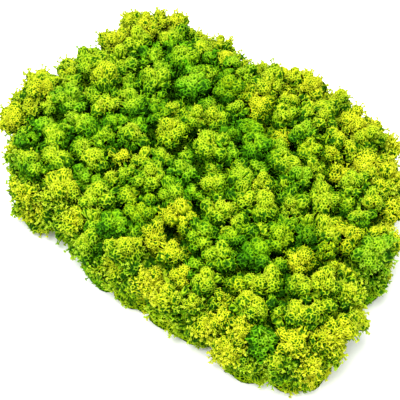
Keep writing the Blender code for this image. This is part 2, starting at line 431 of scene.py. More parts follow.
@dataclass
class Outline:
    """The clump's outline seen from above: a closed Catmull-Rom curve through points in millimetres."""

    points_mm: tuple[tuple[float, float], ...] = (
        (122, 2), (111, 29), (93, 56), (78, 78), (54, 84), (34, 90), (8, 94), (-22, 84), (-52, 87),
        (-86, 83), (-112, 67), (-111, 36), (-117, 14), (-127, -12), (-117, -40), (-98, -60), (-76, -81),
        (-46, -79), (-14, -92), (24, -91), (40, -94), (60, -89), (95, -93), (124, -72), (124, -36),
        (116, -17),
    )
    steps: int = 12

    def curve(self) -> Array:
        """Draw the smooth outline.

        Between points p1 and p2, with p0 before and p3 after them, the point at t from 0 to 1 is half of
        2 p1 + (p2 - p0) t + (2 p0 - 5 p1 + 4 p2 - p3) t² + (3 p1 - p0 - 3 p2 + p3) t³.

        Returns:
            The curve's points, n x 2.
        """
        points = np.array(self.points_mm) * MM
        p0, p1, p2, p3 = (np.roll(points, turn, axis=0)[:, None, :] for turn in (1, 0, -1, -2))
        t = (np.arange(self.steps) / self.steps)[None, :, None]
        curve = 0.5 * (
            2 * p1
            + (p2 - p0) * t
            + (2 * p0 - 5 * p1 + 4 * p2 - p3) * t**2
            + (3 * p1 - p0 - 3 * p2 + p3) * t**3
        )
        return curve.reshape(-1, 2)

    def inset(self, points: Array) -> Array:
        """Find how far inside the outline each plan point lies, by its distance to the nearest side.

        A point is inside if a line from it towards +X crosses the curve an odd number of times.

        Args:
            points: n x 2 plan points.

        Returns:
            n distances, negative outside.
        """
        curve = self.curve()
        ends = np.roll(curve, -1, axis=0)
        away = points[:, None, :] - curve[None, :, :]
        run = (ends - curve)[None, :, :]
        along = np.clip((away * run).sum(axis=2) / (run * run).sum(axis=2), 0, 1)
        distance = np.linalg.norm(away - along[:, :, None] * run, axis=2).min(axis=1)
        x, y = points[:, 0:1], points[:, 1:2]
        spans = (curve[:, 1] > y) != (ends[:, 1] > y)
        rise = np.where(ends[:, 1] == curve[:, 1], 1.0, ends[:, 1] - curve[:, 1])
        crossing = curve[:, 0] + (y - curve[:, 1]) * (ends[:, 0] - curve[:, 0]) / rise
        inside = (spans & (x < crossing)).sum(axis=1) % 2 == 1
        return np.where(inside, distance, -distance)


@dataclass
class Canopy:
    """The height of the clump over its plan: a quarter ellipse up from the rim, then slow waves."""

    height: float = 50 * MM
    rim_height: float = 22 * MM
    rim_roll: float = 30 * MM
    wave_height: float = 1.8 * MM
    wave_length: float = 70 * MM
    wave_bend: float = 1.3
    wave_slant: float = 0.3

    def over(self, points: Array, inset: Array) -> Array:
        """Work out the canopy's height over plan points.

        The dome is sqrt(1 - (1 - r)²), where r is the inset over the rim's roll, at most 1. The waves are
        sin(x + bend cos y) cos(y - slant x), where x and y count one wave length as a full turn.

        Args:
            points: n x 2 plan points.
            inset: How far inside the outline they lie.

        Returns:
            n heights.
        """
        rise = np.clip(inset / self.rim_roll, 0, 1)
        dome = np.sqrt(1 - (1 - rise) ** 2)
        x, y = points[:, 0] / self.wave_length, points[:, 1] / self.wave_length
        along = np.sin(math.tau * x + self.wave_bend * np.cos(math.tau * y))
        waves = along * np.cos(math.tau * (y - self.wave_slant * x))
        return self.rim_height + (self.height - self.rim_height + self.wave_height * waves) * dome


@dataclass
class Dye:
    """How young and yellow the growth is over the plan, from 0 to 1: everywhere, at the rim and in patches.

    A patch is a plan point and a radius, in millimetres.
    """

    everywhere: float = 0.42
    at_rim: float = 0.22
    rim_width: float = 14 * MM
    in_young_patch: float = 0.62
    in_old_patch: float = -0.3
    young_patches_mm: Patches = (
        (75, -84, 15), (29, -79, 13), (108, -70, 11), (91, -30, 12), (63, -66, 8), (114, -54, 8),
        (12, -50, 12), (0, 50, 10), (17, 40, 8), (66, 42, 11), (98, -4, 7), (-30, 6, 8),
    )
    old_patches_mm: Patches = (
        (-45, 39, 17), (-46, -4, 11), (-78, 27, 13), (14, 15, 13), (-85, -20, 13), (-15, -16, 14),
        (19, -36, 9), (42, -57, 8), (50, 20, 12), (110, -3, 9), (99, -88, 9),
    )

    @staticmethod
    def strength(points: Array, patches_mm: Patches) -> Array:
        """Find how strongly plan points lie in any of the patches: exp(-d²) for the distance d in radii.

        Args:
            points: n x 2 plan points.
            patches_mm: The patches.

        Returns:
            For each point that of its strongest patch, from 0 to 1.
        """
        patches = np.array(patches_mm) * MM
        distance = np.linalg.norm(points[:, None, :] - patches[None, :, :2], axis=2)
        return np.exp(-((distance / patches[:, 2]) ** 2)).max(axis=1)

    def youth(self, points: Array, inset: Array) -> Array:
        """Add up how young the growth is.

        Args:
            points: n x 2 plan points.
            inset: How far inside the outline they lie.

        Returns:
            n youths, from 0 to 1.
        """
        youth = self.everywhere + self.at_rim * np.exp(-np.maximum(inset, 0) / self.rim_width)
        youth += self.in_young_patch * self.strength(points, self.young_patches_mm)
        youth += self.in_old_patch * self.strength(points, self.old_patches_mm)
        return np.clip(youth, 0, 1)


@dataclass
class Planting:
    """Where the tufts and their heads stand, worked out by the same rules and seed as the solids."""

    outline: Outline = field(default_factory=Outline)
    canopy: Canopy = field(default_factory=Canopy)
    dye: Dye = field(default_factory=Dye)
    tuft_count: int = 54
    tuft_reach: float = 19.5 * MM
    crown_drop: float = 6.8 * MM
    tuft_height_spread: float = 3 * MM
    settling_rounds: int = 10
    rim_tuft_inset: float = 24 * MM
    head_radius: float = 7.8 * MM
    head_radius_spread: float = 1.0 * MM
    head_spacing: float = 10.4 * MM
    head_wall_clearance: float = 2.6 * MM
    head_height_spread: float = 1.4 * MM
    lowest_head: float = 8 * MM
    lower_edge_tuck: float = 7 * MM
    sample_step: float = 2.5 * MM
    side_rows: int = 8
    roots: Array = field(init=False)
    heads: Array = field(init=False)
    radii: Array = field(init=False)
    owners: Array = field(init=False)
    normals: Array = field(init=False)
    offsets: Array = field(init=False)

    def __post_init__(self) -> None:
        """Work out the tufts' roots, the walls between them and the heads."""
        random = np.random.default_rng(SEED)
        samples = self.plan_samples()
        self.roots = self.place_roots(samples, random)
        self.normals, self.offsets = self.walls()
        self.heads, self.radii, self.owners = self.place_heads(samples, random)

    def plan_samples(self) -> Array:
        """Lay a grid of plan points inside the outline.

        Returns:
            The points, n x 2.
        """
        curve = self.outline.curve()
        low, high = curve.min(axis=0), curve.max(axis=0)
        x = np.arange(low[0], high[0], self.sample_step)
        y = np.arange(low[1], high[1], self.sample_step)
        grid = np.stack(np.meshgrid(x, y), axis=-1).reshape(-1, 2)
        return grid[self.outline.inset(grid) > 0]

    def place_roots(self, samples: Array, random: np.random.Generator) -> Array:
        """Place the tufts: the first at the origin, the others settled evenly round it.

        In each round every tuft but the first moves to the middle of the samples nearest to it.

        Args:
            samples: Plan points inside the outline.
            random: Where the first places come from.

        Returns:
            The tufts' plan points.
        """
        roots = samples[random.choice(len(samples), self.tuft_count, replace=False)]
        roots[0] = 0
        for _ in range(self.settling_rounds):
            owner = self.nearest(samples, roots)
            for index in range(1, self.tuft_count):
                roots[index] = samples[owner == index].mean(axis=0)
        return roots

    @staticmethod
    def nearest(points: Array, roots: Array) -> Array:
        """Return for each plan point the index of the root nearest to it."""
        return np.linalg.norm(points[:, None, :2] - roots[None, :, :], axis=2).argmin(axis=1)

    def walls(self) -> tuple[Array, Array]:
        """Raise an upright wall halfway between each pair of tufts.

        Returns:
            The walls' normals and their offsets along them.
        """
        apart = self.roots[None, :, :] - self.roots[:, None, :]
        distance = np.linalg.norm(apart, axis=2)
        np.fill_diagonal(distance, 1)
        normals = apart / distance[:, :, None]
        middles = (self.roots[None, :, :] + self.roots[:, None, :]) / 2
        offsets = (normals * middles).sum(axis=2)
        np.fill_diagonal(offsets, np.inf)
        return normals, offsets

    def wall_clearance(self, points: Array, owner: Array) -> Array:
        """Return how far each plan point is from the nearest wall of the tuft that holds it."""
        reach = (self.normals[owner] * points[:, None, :2]).sum(axis=2)
        return (self.offsets[owner] - reach).min(axis=1)

    def walls_along(self, index: int, core: Array, ways: Array, overlap: float = 0.0) -> Array:
        """Find how far a ray from a tuft's core goes along each way before it meets a wall of its cell.

        Args:
            index: The tuft.
            core: The rays' start.
            ways: n x 3 unit directions.
            overlap: How much further out than they are the walls count.

        Returns:
            n distances.
        """
        room = self.offsets[index] - self.normals[index] @ core[:2] + overlap
        speed = np.maximum(ways[:, :2] @ self.normals[index].T, SLOWEST)
        return (room / speed).min(axis=1)

    def side_candidates(self) -> tuple[Array, Array]:
        """Lay points just inside the rim, at all heights under it, drawn in towards the ground.

        Returns:
            The plan points and their heights.
        """
        curve = self.outline.curve()
        inward = curve.mean(axis=0) - curve
        inward /= np.linalg.norm(inward, axis=1)[:, None]
        rows = np.linspace(0, 1, self.side_rows)
        row = np.repeat(rows, len(curve))
        tuck = self.head_radius + self.lower_edge_tuck * (1 - row) ** 2
        side = np.tile(curve, (len(rows), 1)) + np.tile(inward, (len(rows), 1)) * tuck[:, None]
        top = self.canopy.over(side, np.full(len(side), self.head_radius)) - self.head_radius
        return side, self.lowest_head + (top - self.lowest_head) * row

    def head_candidates(self, samples: Array, random: np.random.Generator) -> tuple[Array, Array]:
        """Lay points where a head's middle may be, under the canopy and down the side.

        Args:
            samples: Plan points inside the outline.
            random: Where their unevenness comes from.

        Returns:
            The points and the tufts that hold them.
        """
        top = samples + random.uniform(-0.5, 0.5, samples.shape) * self.sample_step
        inset = self.outline.inset(top)
        top, inset = top[inset > self.head_radius], inset[inset > self.head_radius]
        side, side_height = self.side_candidates()
        points = np.vstack([top, side])
        heights = np.concatenate([self.canopy.over(top, inset) - self.head_radius, side_height])
        owner = self.nearest(points, self.roots)
        from_root = np.linalg.norm(points - self.roots[owner], axis=1)
        drop = self.crown_drop * np.minimum(from_root / self.tuft_reach, 1) ** 2
        lift = random.uniform(-1, 1, self.tuft_count)[owner] * self.tuft_height_spread
        is_top = np.arange(len(points)) < len(top)
        spread = random.uniform(-1, 1, len(points)) * self.head_height_spread
        heights += np.where(is_top, lift - drop, 0) + spread
        return np.column_stack([points, np.maximum(heights, self.lowest_head)]), owner

    def place_heads(self, samples: Array, random: np.random.Generator) -> tuple[Array, Array, Array]:
        """Place the heads: each new one goes where the canopy is barest.

        Args:
            samples: Plan points inside the outline.
            random: Where their unevenness comes from.

        Returns:
            The heads' middles, their radii and the tufts that hold them.
        """
        candidates, owner = self.head_candidates(samples, random)
        clear = self.wall_clearance(candidates, owner) > self.head_wall_clearance
        candidates, owner = candidates[clear], owner[clear]
        first = np.linalg.norm(candidates[:, :2], axis=1).argmin()
        chosen = [first]
        bareness = np.linalg.norm(candidates - candidates[first], axis=1)
        while bareness.max() > self.head_spacing:
            chosen.append(bareness.argmax())
            bareness = np.minimum(bareness, np.linalg.norm(candidates - candidates[chosen[-1]], axis=1))
        radii = self.head_radius + random.uniform(-1, 1, len(chosen)) * self.head_radius_spread
        return candidates[chosen], radii, owner[chosen]

    def names(self) -> list[str]:
        """Name the tufts: those near the outline are rim tufts and the others middle tufts.

        Returns:
            Their names in order.
        """
        names = []
        counts = {"middle": 0, "rim": 0}
        for distance in self.outline.inset(self.roots):
            place = "rim" if distance < self.rim_tuft_inset else "middle"
            counts[place] += 1
            names.append(f"{place}_tuft_{counts[place]:02d}")
        return names

    def cores(self) -> Array:
        """Return the middle of each tuft's growth, halfway up under its highest head."""
        highest = np.array([self.heads[self.owners == index, 2].max() for index in range(self.tuft_count)])
        return np.column_stack([self.roots, 0.5 * highest])


@dataclass
class Sky:
    """The ways out of the clump: which of them a point has open, with the heads and cores as blockers.

    `first_bearing` is given in steps from one bearing to the next.
    """

    planting: Planting
    bearings: int = 8
    first_bearing: float = 0.25
    elevations: tuple[float, ...] = (math.radians(8), math.radians(34), math.radians(60))
    head_share: float = 0.86
    core_radius: float = 14 * MM
    core_rim_inset: float = 4 * MM
    near: float = 50 * MM
    ways: Array = field(init=False)
    weights: Array = field(init=False)
    middles: Array = field(init=False)
    radii: Array = field(init=False)

    def __post_init__(self) -> None:
        """Lay out the ways, each weighted by the sine of its elevation, and the blockers."""
        bearing = math.tau * (np.arange(self.bearings) + self.first_bearing) / self.bearings
        elevation = np.repeat(self.elevations, self.bearings)
        turn = np.tile(bearing, len(self.elevations)) + elevation
        ways = [np.cos(elevation) * np.cos(turn), np.cos(elevation) * np.sin(turn), np.sin(elevation)]
        self.ways = np.vstack([np.stack(ways, axis=1), [0.0, 0.0, 1.0]])
        self.weights = self.ways[:, 2] / self.ways[:, 2].sum()
        inset = self.planting.outline.inset(self.planting.roots)
        core_radii = np.minimum(self.core_radius, inset - self.core_rim_inset)
        self.middles = np.vstack([self.planting.heads, self.planting.cores()])
        self.radii = np.concatenate([self.planting.radii * self.head_share, core_radii])

    def light(self, points: Array) -> Array:
        """Find how much of the light from above points near to one another get.

        A way is open where its line from the point passes clear of every blocker.

        Args:
            points: n x 3 points.

        Returns:
            The weighted share of the ways that each point has open, or -1 where it has none.
        """
        close = np.linalg.norm(self.middles - points.mean(axis=0), axis=1) < self.near
        away = self.middles[close][None] - points[:, None]
        along = away @ self.ways.T
        miss = (away * away).sum(axis=2)[:, :, None] - along**2
        blocked = (along > 0) & (miss < self.radii[close][None, :, None] ** 2)
        ways = ~blocked.any(axis=1)
        return np.where(ways.any(axis=1), ways @ self.weights, -1)


@dataclass
class Florets:
    """The rounded florets as they show: the heads, and small sprigs in the bare places between them.

    Each is a cluster of knobs on a round body with a neck under it. The heads were placed barest spot first,
    so a head's distance to those placed before it tells how much room it has. The more room it has, the
    larger it is and the higher it stands. Those in the dark pockets are smaller and stand lower, and their
    colour is darker and greener as painted shade; the sprigs between the heads are darker too, as painted
    shade. A patch or a pocket is a plan point and a radius, in millimetres.
    """

    planting: Planting
    sky: Sky
    least_room: float = 10.4 * MM
    most_room: float = 17.0 * MM
    crowded_share: float = 0.88
    roomy_share: float = 1.28
    share_spread: float = 0.14
    crowded_sink: float = 2.2 * MM
    knobs_each: int = 10
    knob_cap: float = math.radians(98)
    least_knob: float = 0.32
    most_knob: float = 0.46
    knob_jitter: float = 0.24
    knob_reach_spread: float = 0.16
    lean: float = 0.17
    body_share: float = 0.73
    neck_depth: float = 0.75
    neck_share: float = 0.68
    foot_depth: float = 1.0
    widest_share: float = 1.3
    everywhere_youth: float = -0.05
    youth_spread: float = 0.08
    low_youth: float = -0.16
    youth_at_rim: float = 0.30
    youth_rim_width: float = 11 * MM
    fresh_youth: float = 0.38
    # Greener in the old patches, in part as painted shade on the dark gaps.
    old_youth_and_shade: float = -0.42
    # Painted shade in the dark pockets: lower youths and tip values, so their florets show greener and
    # darker.
    pocket_shade_tint: float = -0.24
    # The colour is lighter towards the rim.
    rim_lightening: float = 0.56
    fresh_vigour: float = 0.12
    # Darker in the old patches, in part as painted shade.
    old_vigour_and_shade: float = -0.20
    # Painted shade on the sprigs between the heads: lower tip values.
    sprig_shade: float = -0.08
    # Painted shade: lower tip values in the dark pockets.
    pocket_shade: float = -0.24
    pocket_sink: float = 4.0 * MM
    pocket_share: float = 0.10
    pockets_mm: Patches = (
        (97, -79, 8), (33, -88, 11), (-15, -84, 9), (-7, -53, 8), (-8, -72, 8), (76, 23, 8), (66, -59, 8),
        (94, -20, 7), (-56, -56, 8), (42, 33, 7), (-87, -46, 9), (-22, 51, 8), (8, 22, 7), (56, -45, 8),
        (38, -57, 7), (-16, -63, 9), (104, -4, 6), (13, -37, 7), (-36, -1, 7), (-74, -66, 8), (-30, 64, 9),
        (73, -88, 8), (76, -20, 7),
    )
    fresh_patches_mm: Patches = (
        (-99, -23, 14), (-114, 50, 14), (-92, 66, 14), (-57, -74, 12), (-48, -66, 8), (-74, 0, 9),
        (-31, -30, 10), (-40, 77, 11), (8, 81, 14), (20, -54, 12), (104, 22, 13), (122, -92, 10),
        (72, -100, 9), (-40, -92, 9), (30, -25, 8), (51, 35, 9), (57, 8, 9), (45, 73, 10), (78, 60, 12),
        (118, 2, 12), (81, 5, 10), (60, 74, 12), (96, 37, 14), (114, -72, 13),
    )
    # Many of these old patches lie on the dark gaps between florets, beside the pockets, where their darker
    # green is painted shade; the others are greener patches of the growth itself.
    old_patches_mm: Patches = (
        (-72, 56, 15), (-50, 58, 12), (-22, 54, 14), (7, 22, 13), (-86, -46, 13), (-92, -8, 9),
        (-50, -62, 14), (-13, -61, 12), (-15, -80, 8), (-59, -13, 11), (39, -55, 10), (56, -44, 9),
        (73, -26, 11), (105, -3, 10), (96, -78, 8), (36, -91, 9), (13, -34, 9), (-36, -1, 9), (76, -20, 9),
    )
    sprig_candidates: int = 500
    sprig_radius: float = 6.0 * MM
    sprig_radius_spread: float = 0.9 * MM
    sprig_gap: float = 2.8 * MM
    sprig_depth: float = 4.6 * MM
    sprig_rise: float = 0.4
    sprig_youth: float = -0.22
    sprig_light: float = 0.10
    lowest_sprig: float = 3.5 * MM
    tuft_body: float = 16.5 * MM
    tuft_foot: float = 12.5 * MM
    tuft_rim_inset: float = 3.5 * MM
    middles: Array = field(init=False)
    radii: Array = field(init=False)
    axes: Array = field(init=False)
    owners: Array = field(init=False)
    youths: Array = field(init=False)
    vigours_and_shade: Array = field(init=False)
    feet: Array = field(init=False)
    knob_middles: Array = field(init=False)
    knob_radii: Array = field(init=False)

    def __post_init__(self) -> None:
        """Size the heads, fill the bare places with sprigs and spread every floret's knobs."""
        random = np.random.default_rng(SEED + 1)
        self.shape_heads(random)
        for index in range(self.planting.tuft_count):
            self.fill_gaps(index, random)
        self.feet = self.middles - self.axes * self.radii[:, None] * self.foot_depth
        plan, dye = self.middles[:, :2], self.planting.dye
        from_rim = np.maximum(self.planting.outline.inset(plan) - self.radii, 0)
        rim = np.exp(-from_rim / self.youth_rim_width)
        # The vigours raise or lower the tip values: lighter towards the rim, lighter or darker in the
        # patches, and darker as painted shade on the sprigs and in the dark pockets.
        self.vigours_and_shade = self.rim_lightening * rim + self.old_vigour_and_shade * dye.strength(plan, self.old_patches_mm)
        self.vigours_and_shade += self.fresh_vigour * dye.strength(plan, self.fresh_patches_mm)
        # Painted shade on the sprigs between the heads.
        self.vigours_and_shade[len(self.planting.heads) :] += self.sprig_shade
        # Painted shade: florets in the dark pockets show darker and greener.
        pockets = dye.strength(plan, self.pockets_mm)
        self.vigours_and_shade += self.pocket_shade * pockets
        self.youths = np.clip(self.youths + self.pocket_shade_tint * pockets, 0, 1)
        self.spread_knobs(random)

    def shape_heads(self, random: np.random.Generator) -> None:
        """Size the heads, and sink those that have little room or stand in a dark pocket.

        Args:
            random: Where their unevenness comes from.
        """
        planting = self.planting
        count = len(planting.heads)
        apart = np.linalg.norm(planting.heads[:, None] - planting.heads[None], axis=2)
        apart[np.triu_indices(count)] = np.inf
        room = (apart.min(axis=1) - self.least_room) / (self.most_room - self.least_room)
        room = np.clip(room, 0, 1)
        share = self.crowded_share + (self.roomy_share - self.crowded_share) * room
        self.owners = planting.owners.copy()
        self.axes = unit(planting.heads - planting.cores()[planting.owners])
        self.radii = planting.radii * (share + random.uniform(-1, 1, count) * self.share_spread)
        self.middles = planting.heads - self.axes * (self.crowded_sink * (1 - room))[:, None]
        plan = planting.heads[:, :2]
        pockets = planting.dye.strength(plan, self.pockets_mm)
        self.middles -= self.axes * (self.pocket_sink * pockets)[:, None]
        self.radii *= 1 - self.pocket_share * pockets
        youths = self.youths_at(plan) + self.low_youth * (1 - room)
        self.youths = np.clip(youths + random.normal(0, self.youth_spread, count), 0, 1)

    def youths_at(self, plan: Array) -> Array:
        """Add the rim's youth and that of the patches over the plan to the tufts' dye.

        Args:
            plan: n x 2 plan points.

        Returns:
            How young the growth shows there.
        """
        dye, inset = self.planting.dye, self.planting.outline.inset(plan)
        at_rim = self.youth_at_rim * np.exp(-np.maximum(inset, 0) / self.youth_rim_width)
        youths = dye.youth(plan, inset) + at_rim
        youths += self.fresh_youth * dye.strength(plan, self.fresh_patches_mm)
        return youths + self.old_youth_and_shade * dye.strength(plan, self.old_patches_mm) + self.everywhere_youth

    def set_in(self, index: int, radius: float, height: float | None = None, margin: float = 0.0) -> Array:
        """Place a ball in a tuft, set in from the clump's rim until the ball clears it.

        Args:
            index: The tuft.
            radius: The ball's radius.
            height: The middle's height, or None for the core's height or the radius if that is lower.
            margin: How much further than the tuft's body the ball stays from the rim.

        Returns:
            The ball's middle.
        """
        core, root = self.planting.cores()[index], self.planting.roots[index]
        curve = self.planting.outline.curve()
        nearest = curve[np.linalg.norm(curve - root, axis=1).argmin()]
        inset = np.linalg.norm(root - nearest)
        shift = max(radius + self.tuft_rim_inset + margin - inset, 0)
        plan = root + (root - nearest) / inset * shift
        return np.array([*plan, min(core[2], radius) if height is None else height])

    def tuft_reach(self, index: int, ways: Array) -> Array:
        """Find how far a tuft's outer form lies from its core along each way.

        The form ends where a ray leaves the last of the heads, the body and the foot, or meets a wall of the
        tuft's cell if that is nearer.

        Args:
            index: The tuft.
            ways: n x 3 unit directions.

        Returns:
            n distances.
        """
        planting = self.planting
        core, own = planting.cores()[index], planting.owners == index
        sizes = [self.tuft_body, self.tuft_foot]
        middles = np.vstack([planting.heads[own], *(self.set_in(index, size) for size in sizes)])
        reach = reach_of_spheres(core, ways, middles, np.append(planting.radii[own], sizes))
        return np.minimum(reach, planting.walls_along(index, core, ways))

    def fill_gaps(self, index: int, random: np.random.Generator) -> None:
        """Put sprigs on the bare places of a tuft that can be seen: each new one where it is barest.

        Args:
            index: The tuft.
            random: Where their unevenness comes from.
        """
        ways = spiral_cap(self.sprig_candidates, math.pi, np.zeros(1))[0]
        points = self.planting.cores()[index] + ways * self.tuft_reach(index, ways)[:, None]
        shown = points[:, 2] > self.lowest_sprig
        shown[shown] = self.sky.light(points[shown] + ways[shown] * MM) > self.sprig_light
        points, ways = points[shown], ways[shown]
        gap = np.linalg.norm(points[:, None] - self.middles[None], axis=2) - self.radii
        bareness = gap.min(axis=1)
        chosen = []
        while len(points) and bareness.max() > self.sprig_gap:
            chosen.append(bareness.argmax())
            distance = np.linalg.norm(points - points[chosen[-1]], axis=1) - self.sprig_radius
            bareness = np.minimum(bareness, distance)
        if not chosen:
            return
        count = len(chosen)
        youths = self.youths_at(points[chosen, :2]) + self.sprig_youth
        youths = np.clip(youths + random.normal(0, self.youth_spread, count), 0, 1)
        radii = self.sprig_radius + random.uniform(-1, 1, count) * self.sprig_radius_spread
        self.middles = np.vstack([self.middles, points[chosen] - ways[chosen] * self.sprig_depth])
        self.axes = np.vstack([self.axes, unit(ways[chosen] + [0, 0, self.sprig_rise])])
        self.radii = np.concatenate([self.radii, radii])
        self.owners = np.concatenate([self.owners, np.full(count, index)])
        self.youths = np.concatenate([self.youths, youths])

    def spread_knobs(self, random: np.random.Generator) -> None:
        """Spread each floret's knobs over its cap, a little uneven and leaning to one side.

        A knob's middle lies along its way at the floret's radius times its reach, less the knob's own share.

        Args:
            random: Where their unevenness comes from.
        """
        count = len(self.middles)
        cap = spiral_cap(self.knobs_each, self.knob_cap, random.uniform(0, math.tau, count))
        ways = unit(turn_onto(cap, self.axes) + random.normal(0, self.knob_jitter, (*cap.shape,)))
        share = random.uniform(self.least_knob, self.most_knob, ways.shape[:2])
        lean = (ways * random.normal(0, self.lean, (count, 1, 3))).sum(axis=2)
        reach = random.normal(1, self.knob_reach_spread, share.shape) - share + lean
        self.knob_radii = self.radii[:, None] * share
        self.knob_middles = self.middles[:, None] + ways * (self.radii[:, None] * reach)[:, :, None]

    def reach(self, floret: int, ways: Array) -> Array:
        """Find how far a floret's surface lies from its middle along each way.

        Args:
            floret: The floret.
            ways: n x 3 unit directions.

        Returns:
            n distances.
        """
        middle, radius = self.middles[floret], self.radii[floret]
        neck = middle - self.axes[floret] * radius * self.neck_depth
        middles = np.vstack([self.knob_middles[floret], middle, neck])
        body = radius * np.array([self.body_share, self.neck_share])
        return reach_of_spheres(middle, ways, middles, np.append(self.knob_radii[floret], body))

    def others_near(self, point: Array, reach: float, but: int) -> tuple[Array, Array]:
        """Gather the knobs and bodies of the other florets near a point.

        Args:
            point: The point.
            reach: How near they are.
            but: The floret to leave out, or -1 for none.

        Returns:
            Their middles and their radii.
        """
        near = np.linalg.norm(self.middles - point, axis=1) < reach + self.radii * self.widest_share
        if but >= 0:
            near[but] = False
        middles = np.concatenate([self.knob_middles[near].reshape(-1, 3), self.middles[near]])
        return middles, np.concatenate([self.knob_radii[near].ravel(), self.radii[near] * self.body_share])


# The branchwork


@dataclass(frozen=True)
class Weave:
    """How the crowded cells over a ball are laid and shaped.

    `reach` says how far from the ball's axis the cells end, in radii, before they are draped. The pits' tip
    value goes from `top_pit` on a lit crown to `side_pit`, give or take `pit_spread`: these low values paint
    shade into the pits, less on a lit crown. `top_gone` and `side_gone` are the shares of corners that are
    missing there, so that their pits run together, and `gone_tip` paints shade there too.
    """

    pitch: float
    reach: float
    stretch: float = 0.0
    edge_slack: float = 0.1
    pit_depth: float = 1.25 * MM
    crown_relief: float = 0.35
    pit_depth_spread: float = 0.4 * MM
    corner_lift: float = 0.10 * MM
    outer_lift: float = 0.14 * MM
    lift_spread: float = 0.20 * MM
    jitter: float = 0.16
    top_pit: float = -0.35
    side_pit: float = -1.4
    pit_spread: float = 0.35
    lowest_pit: float = -3.5
    foot_tip: float = -1.4
    top_gone: float = 0.06
    side_gone: float = 0.40
    gone_tip: float = -0.35
    gone_tip_spread: float = 0.2
    gone_depth: float = 0.7 * MM
    point_share: float = 0.42

    def lifts(self, each: int, noise: Array, is_pit: Array, lit: Array, gone: Array) -> Array:
        """Work out how far each corner stands out of its ball.

        An inner corner lies at the corner lift less the outer one, an outer corner at their sum and a pit at
        its depth below, each uneven by its noise. Pits are shallower on a lit crown, and missing corners lie
        lower.

        Args:
            each: How many corners of each kind a ball has: inner, outer and pits, in that order.
            noise: A normal noise for each corner.
            is_pit: Which corners are pits.
            lit: How lit the surface is, from 0 to 1.
            gone: Which corners are missing.

        Returns:
            The lifts.
        """
        levels = [self.corner_lift - self.outer_lift, self.corner_lift + self.outer_lift, -self.pit_depth]
        lift = np.repeat(levels, each) + noise * np.where(is_pit, self.pit_depth_spread, self.lift_spread)
        return lift * np.where(is_pit, 1 - self.crown_relief * lit, 1) - gone * self.gone_depth


@dataclass(frozen=True)
class Tone:
    """How light, slope and vigour set the colour values: light and slope paint light and shade into them, so
    lit tops show lighter and yellower and shaded places darker and greener.

    Slope is the cosine of the angle between the way a point faces and its form's axis.
    """

    # Painted light and shade: the tip values rise with slope and light, and youth rises with them, so lit
    # tops show lighter and yellower.
    fresh_lit: float = 0.28
    lit_by_slope: float = 0.38
    fresh_by_light: float = 0.42
    least_fresh: float = 0.40
    lit_gain: float = 1.25
    lit_loss: float = 0.05
    young_by_light: float = 0.25
    even_light: float = 0.6
    young_and_lit_by_slope: float = 0.50
    even_slope: float = 0.58
    least_young: float = 0.7

    def lit_freshness(self, slopes: Array, light: Array, vigour_and_shade: float) -> Array:
        """Return the net corners' tip values, with painted light and shade: a sum of slope, light and vigour.
        """
        fresh_lit = self.fresh_lit + self.lit_by_slope * slopes + self.fresh_by_light * light + vigour_and_shade
        return np.clip(fresh_lit, self.least_fresh, 1)

    def lit(self, slopes: Array, light: Array) -> Array:
        """Return how lit the surface is, from 0 to 1: the product of slope and light, stretched."""
        return np.clip(slopes * light * self.lit_gain - self.lit_loss, 0, 1)

    def youths(self, youth: float, slopes: Array, light: Array, vigour_and_shade: float) -> Array:
        """Work out how young the growth shows, with painted light: yellower where it is lit and looks up,
        never old at the rim.

        Args:
            youth: The form's own youth.
            slopes: The points' slopes.
            light: The light there.
            vigour_and_shade: The form's vigour, with painted shade.

        Returns:
            The points' youths, from 0 to 1.
        """
        youths = youth + self.young_by_light * (light - self.even_light)
        youths = youths + self.young_and_lit_by_slope * (slopes - self.even_slope)
        return np.clip(youths, self.least_young * max(vigour_and_shade, 0), 1)


@dataclass(frozen=True)
class Points:
    """The short points on a net's corners.

    `shades` are the shares of the corner's freshness that a point's own corners get, its tip last.
    """

    length: float = 0.95 * MM
    length_spread: float = 0.35 * MM
    radius: float = 0.34 * MM
    root: float = 0.25 * MM
    lean: float = 0.45
    shades: tuple[float, ...] = (0.9, 0.9, 0.9, 1.0)


@dataclass(frozen=True)
class Sprays:
    """The loose forked sprays: a stem and club-shaped arms splayed from its end.

    `arm_lengths` and `splays` are the least and the greatest share of an arm's length and splay. The shades
    are the shares of the spray's freshness, from the foot to the end.
    """

    share: float = 0.05
    rim_share: float = 0.62
    rim_width: float = 8 * MM
    rim_extra: float = 0.4 * MM
    root: float = 1.0 * MM
    lean: float = 0.30
    rise: float = 0.15
    length: float = 2.0 * MM
    length_spread: float = 0.9 * MM
    radius: float = 0.38 * MM
    taper: tuple[float, float] = (1.25, 1)
    sides: int = 3
    stem_shades: tuple[float, float] = (0.4, 0.75)
    arms: int = 4
    arm_length: float = 1.5 * MM
    arm_lengths: tuple[float, float] = (0.7, 1.3)
    arm_root: float = 0.3 * MM
    splay: float = math.radians(50)
    splays: tuple[float, float] = (0.7, 1.2)
    club_radius: float = 0.47 * MM
    widest: float = 0.65
    arm_shades: tuple[float, ...] = (0.7, 0.95, 0.95, 0.95, 1.0)


@dataclass(frozen=True)
class Stalks:
    """The bent stalks from the cut foot up to the florets, and their tip values at the cut and the top."""

    radius: float = 0.85 * MM
    taper: float = 0.75
    reach: float = 8.0 * MM
    lowest_end: float = 4 * MM
    lean: float = 0.55
    scatter: float = 0.6 * MM
    rise: float = 0.6
    arrive: float = 3 * MM
    rows: int = 5
    sides: int = 4
    cut_tip: float = -6.0
    top_tip: float = 0.2


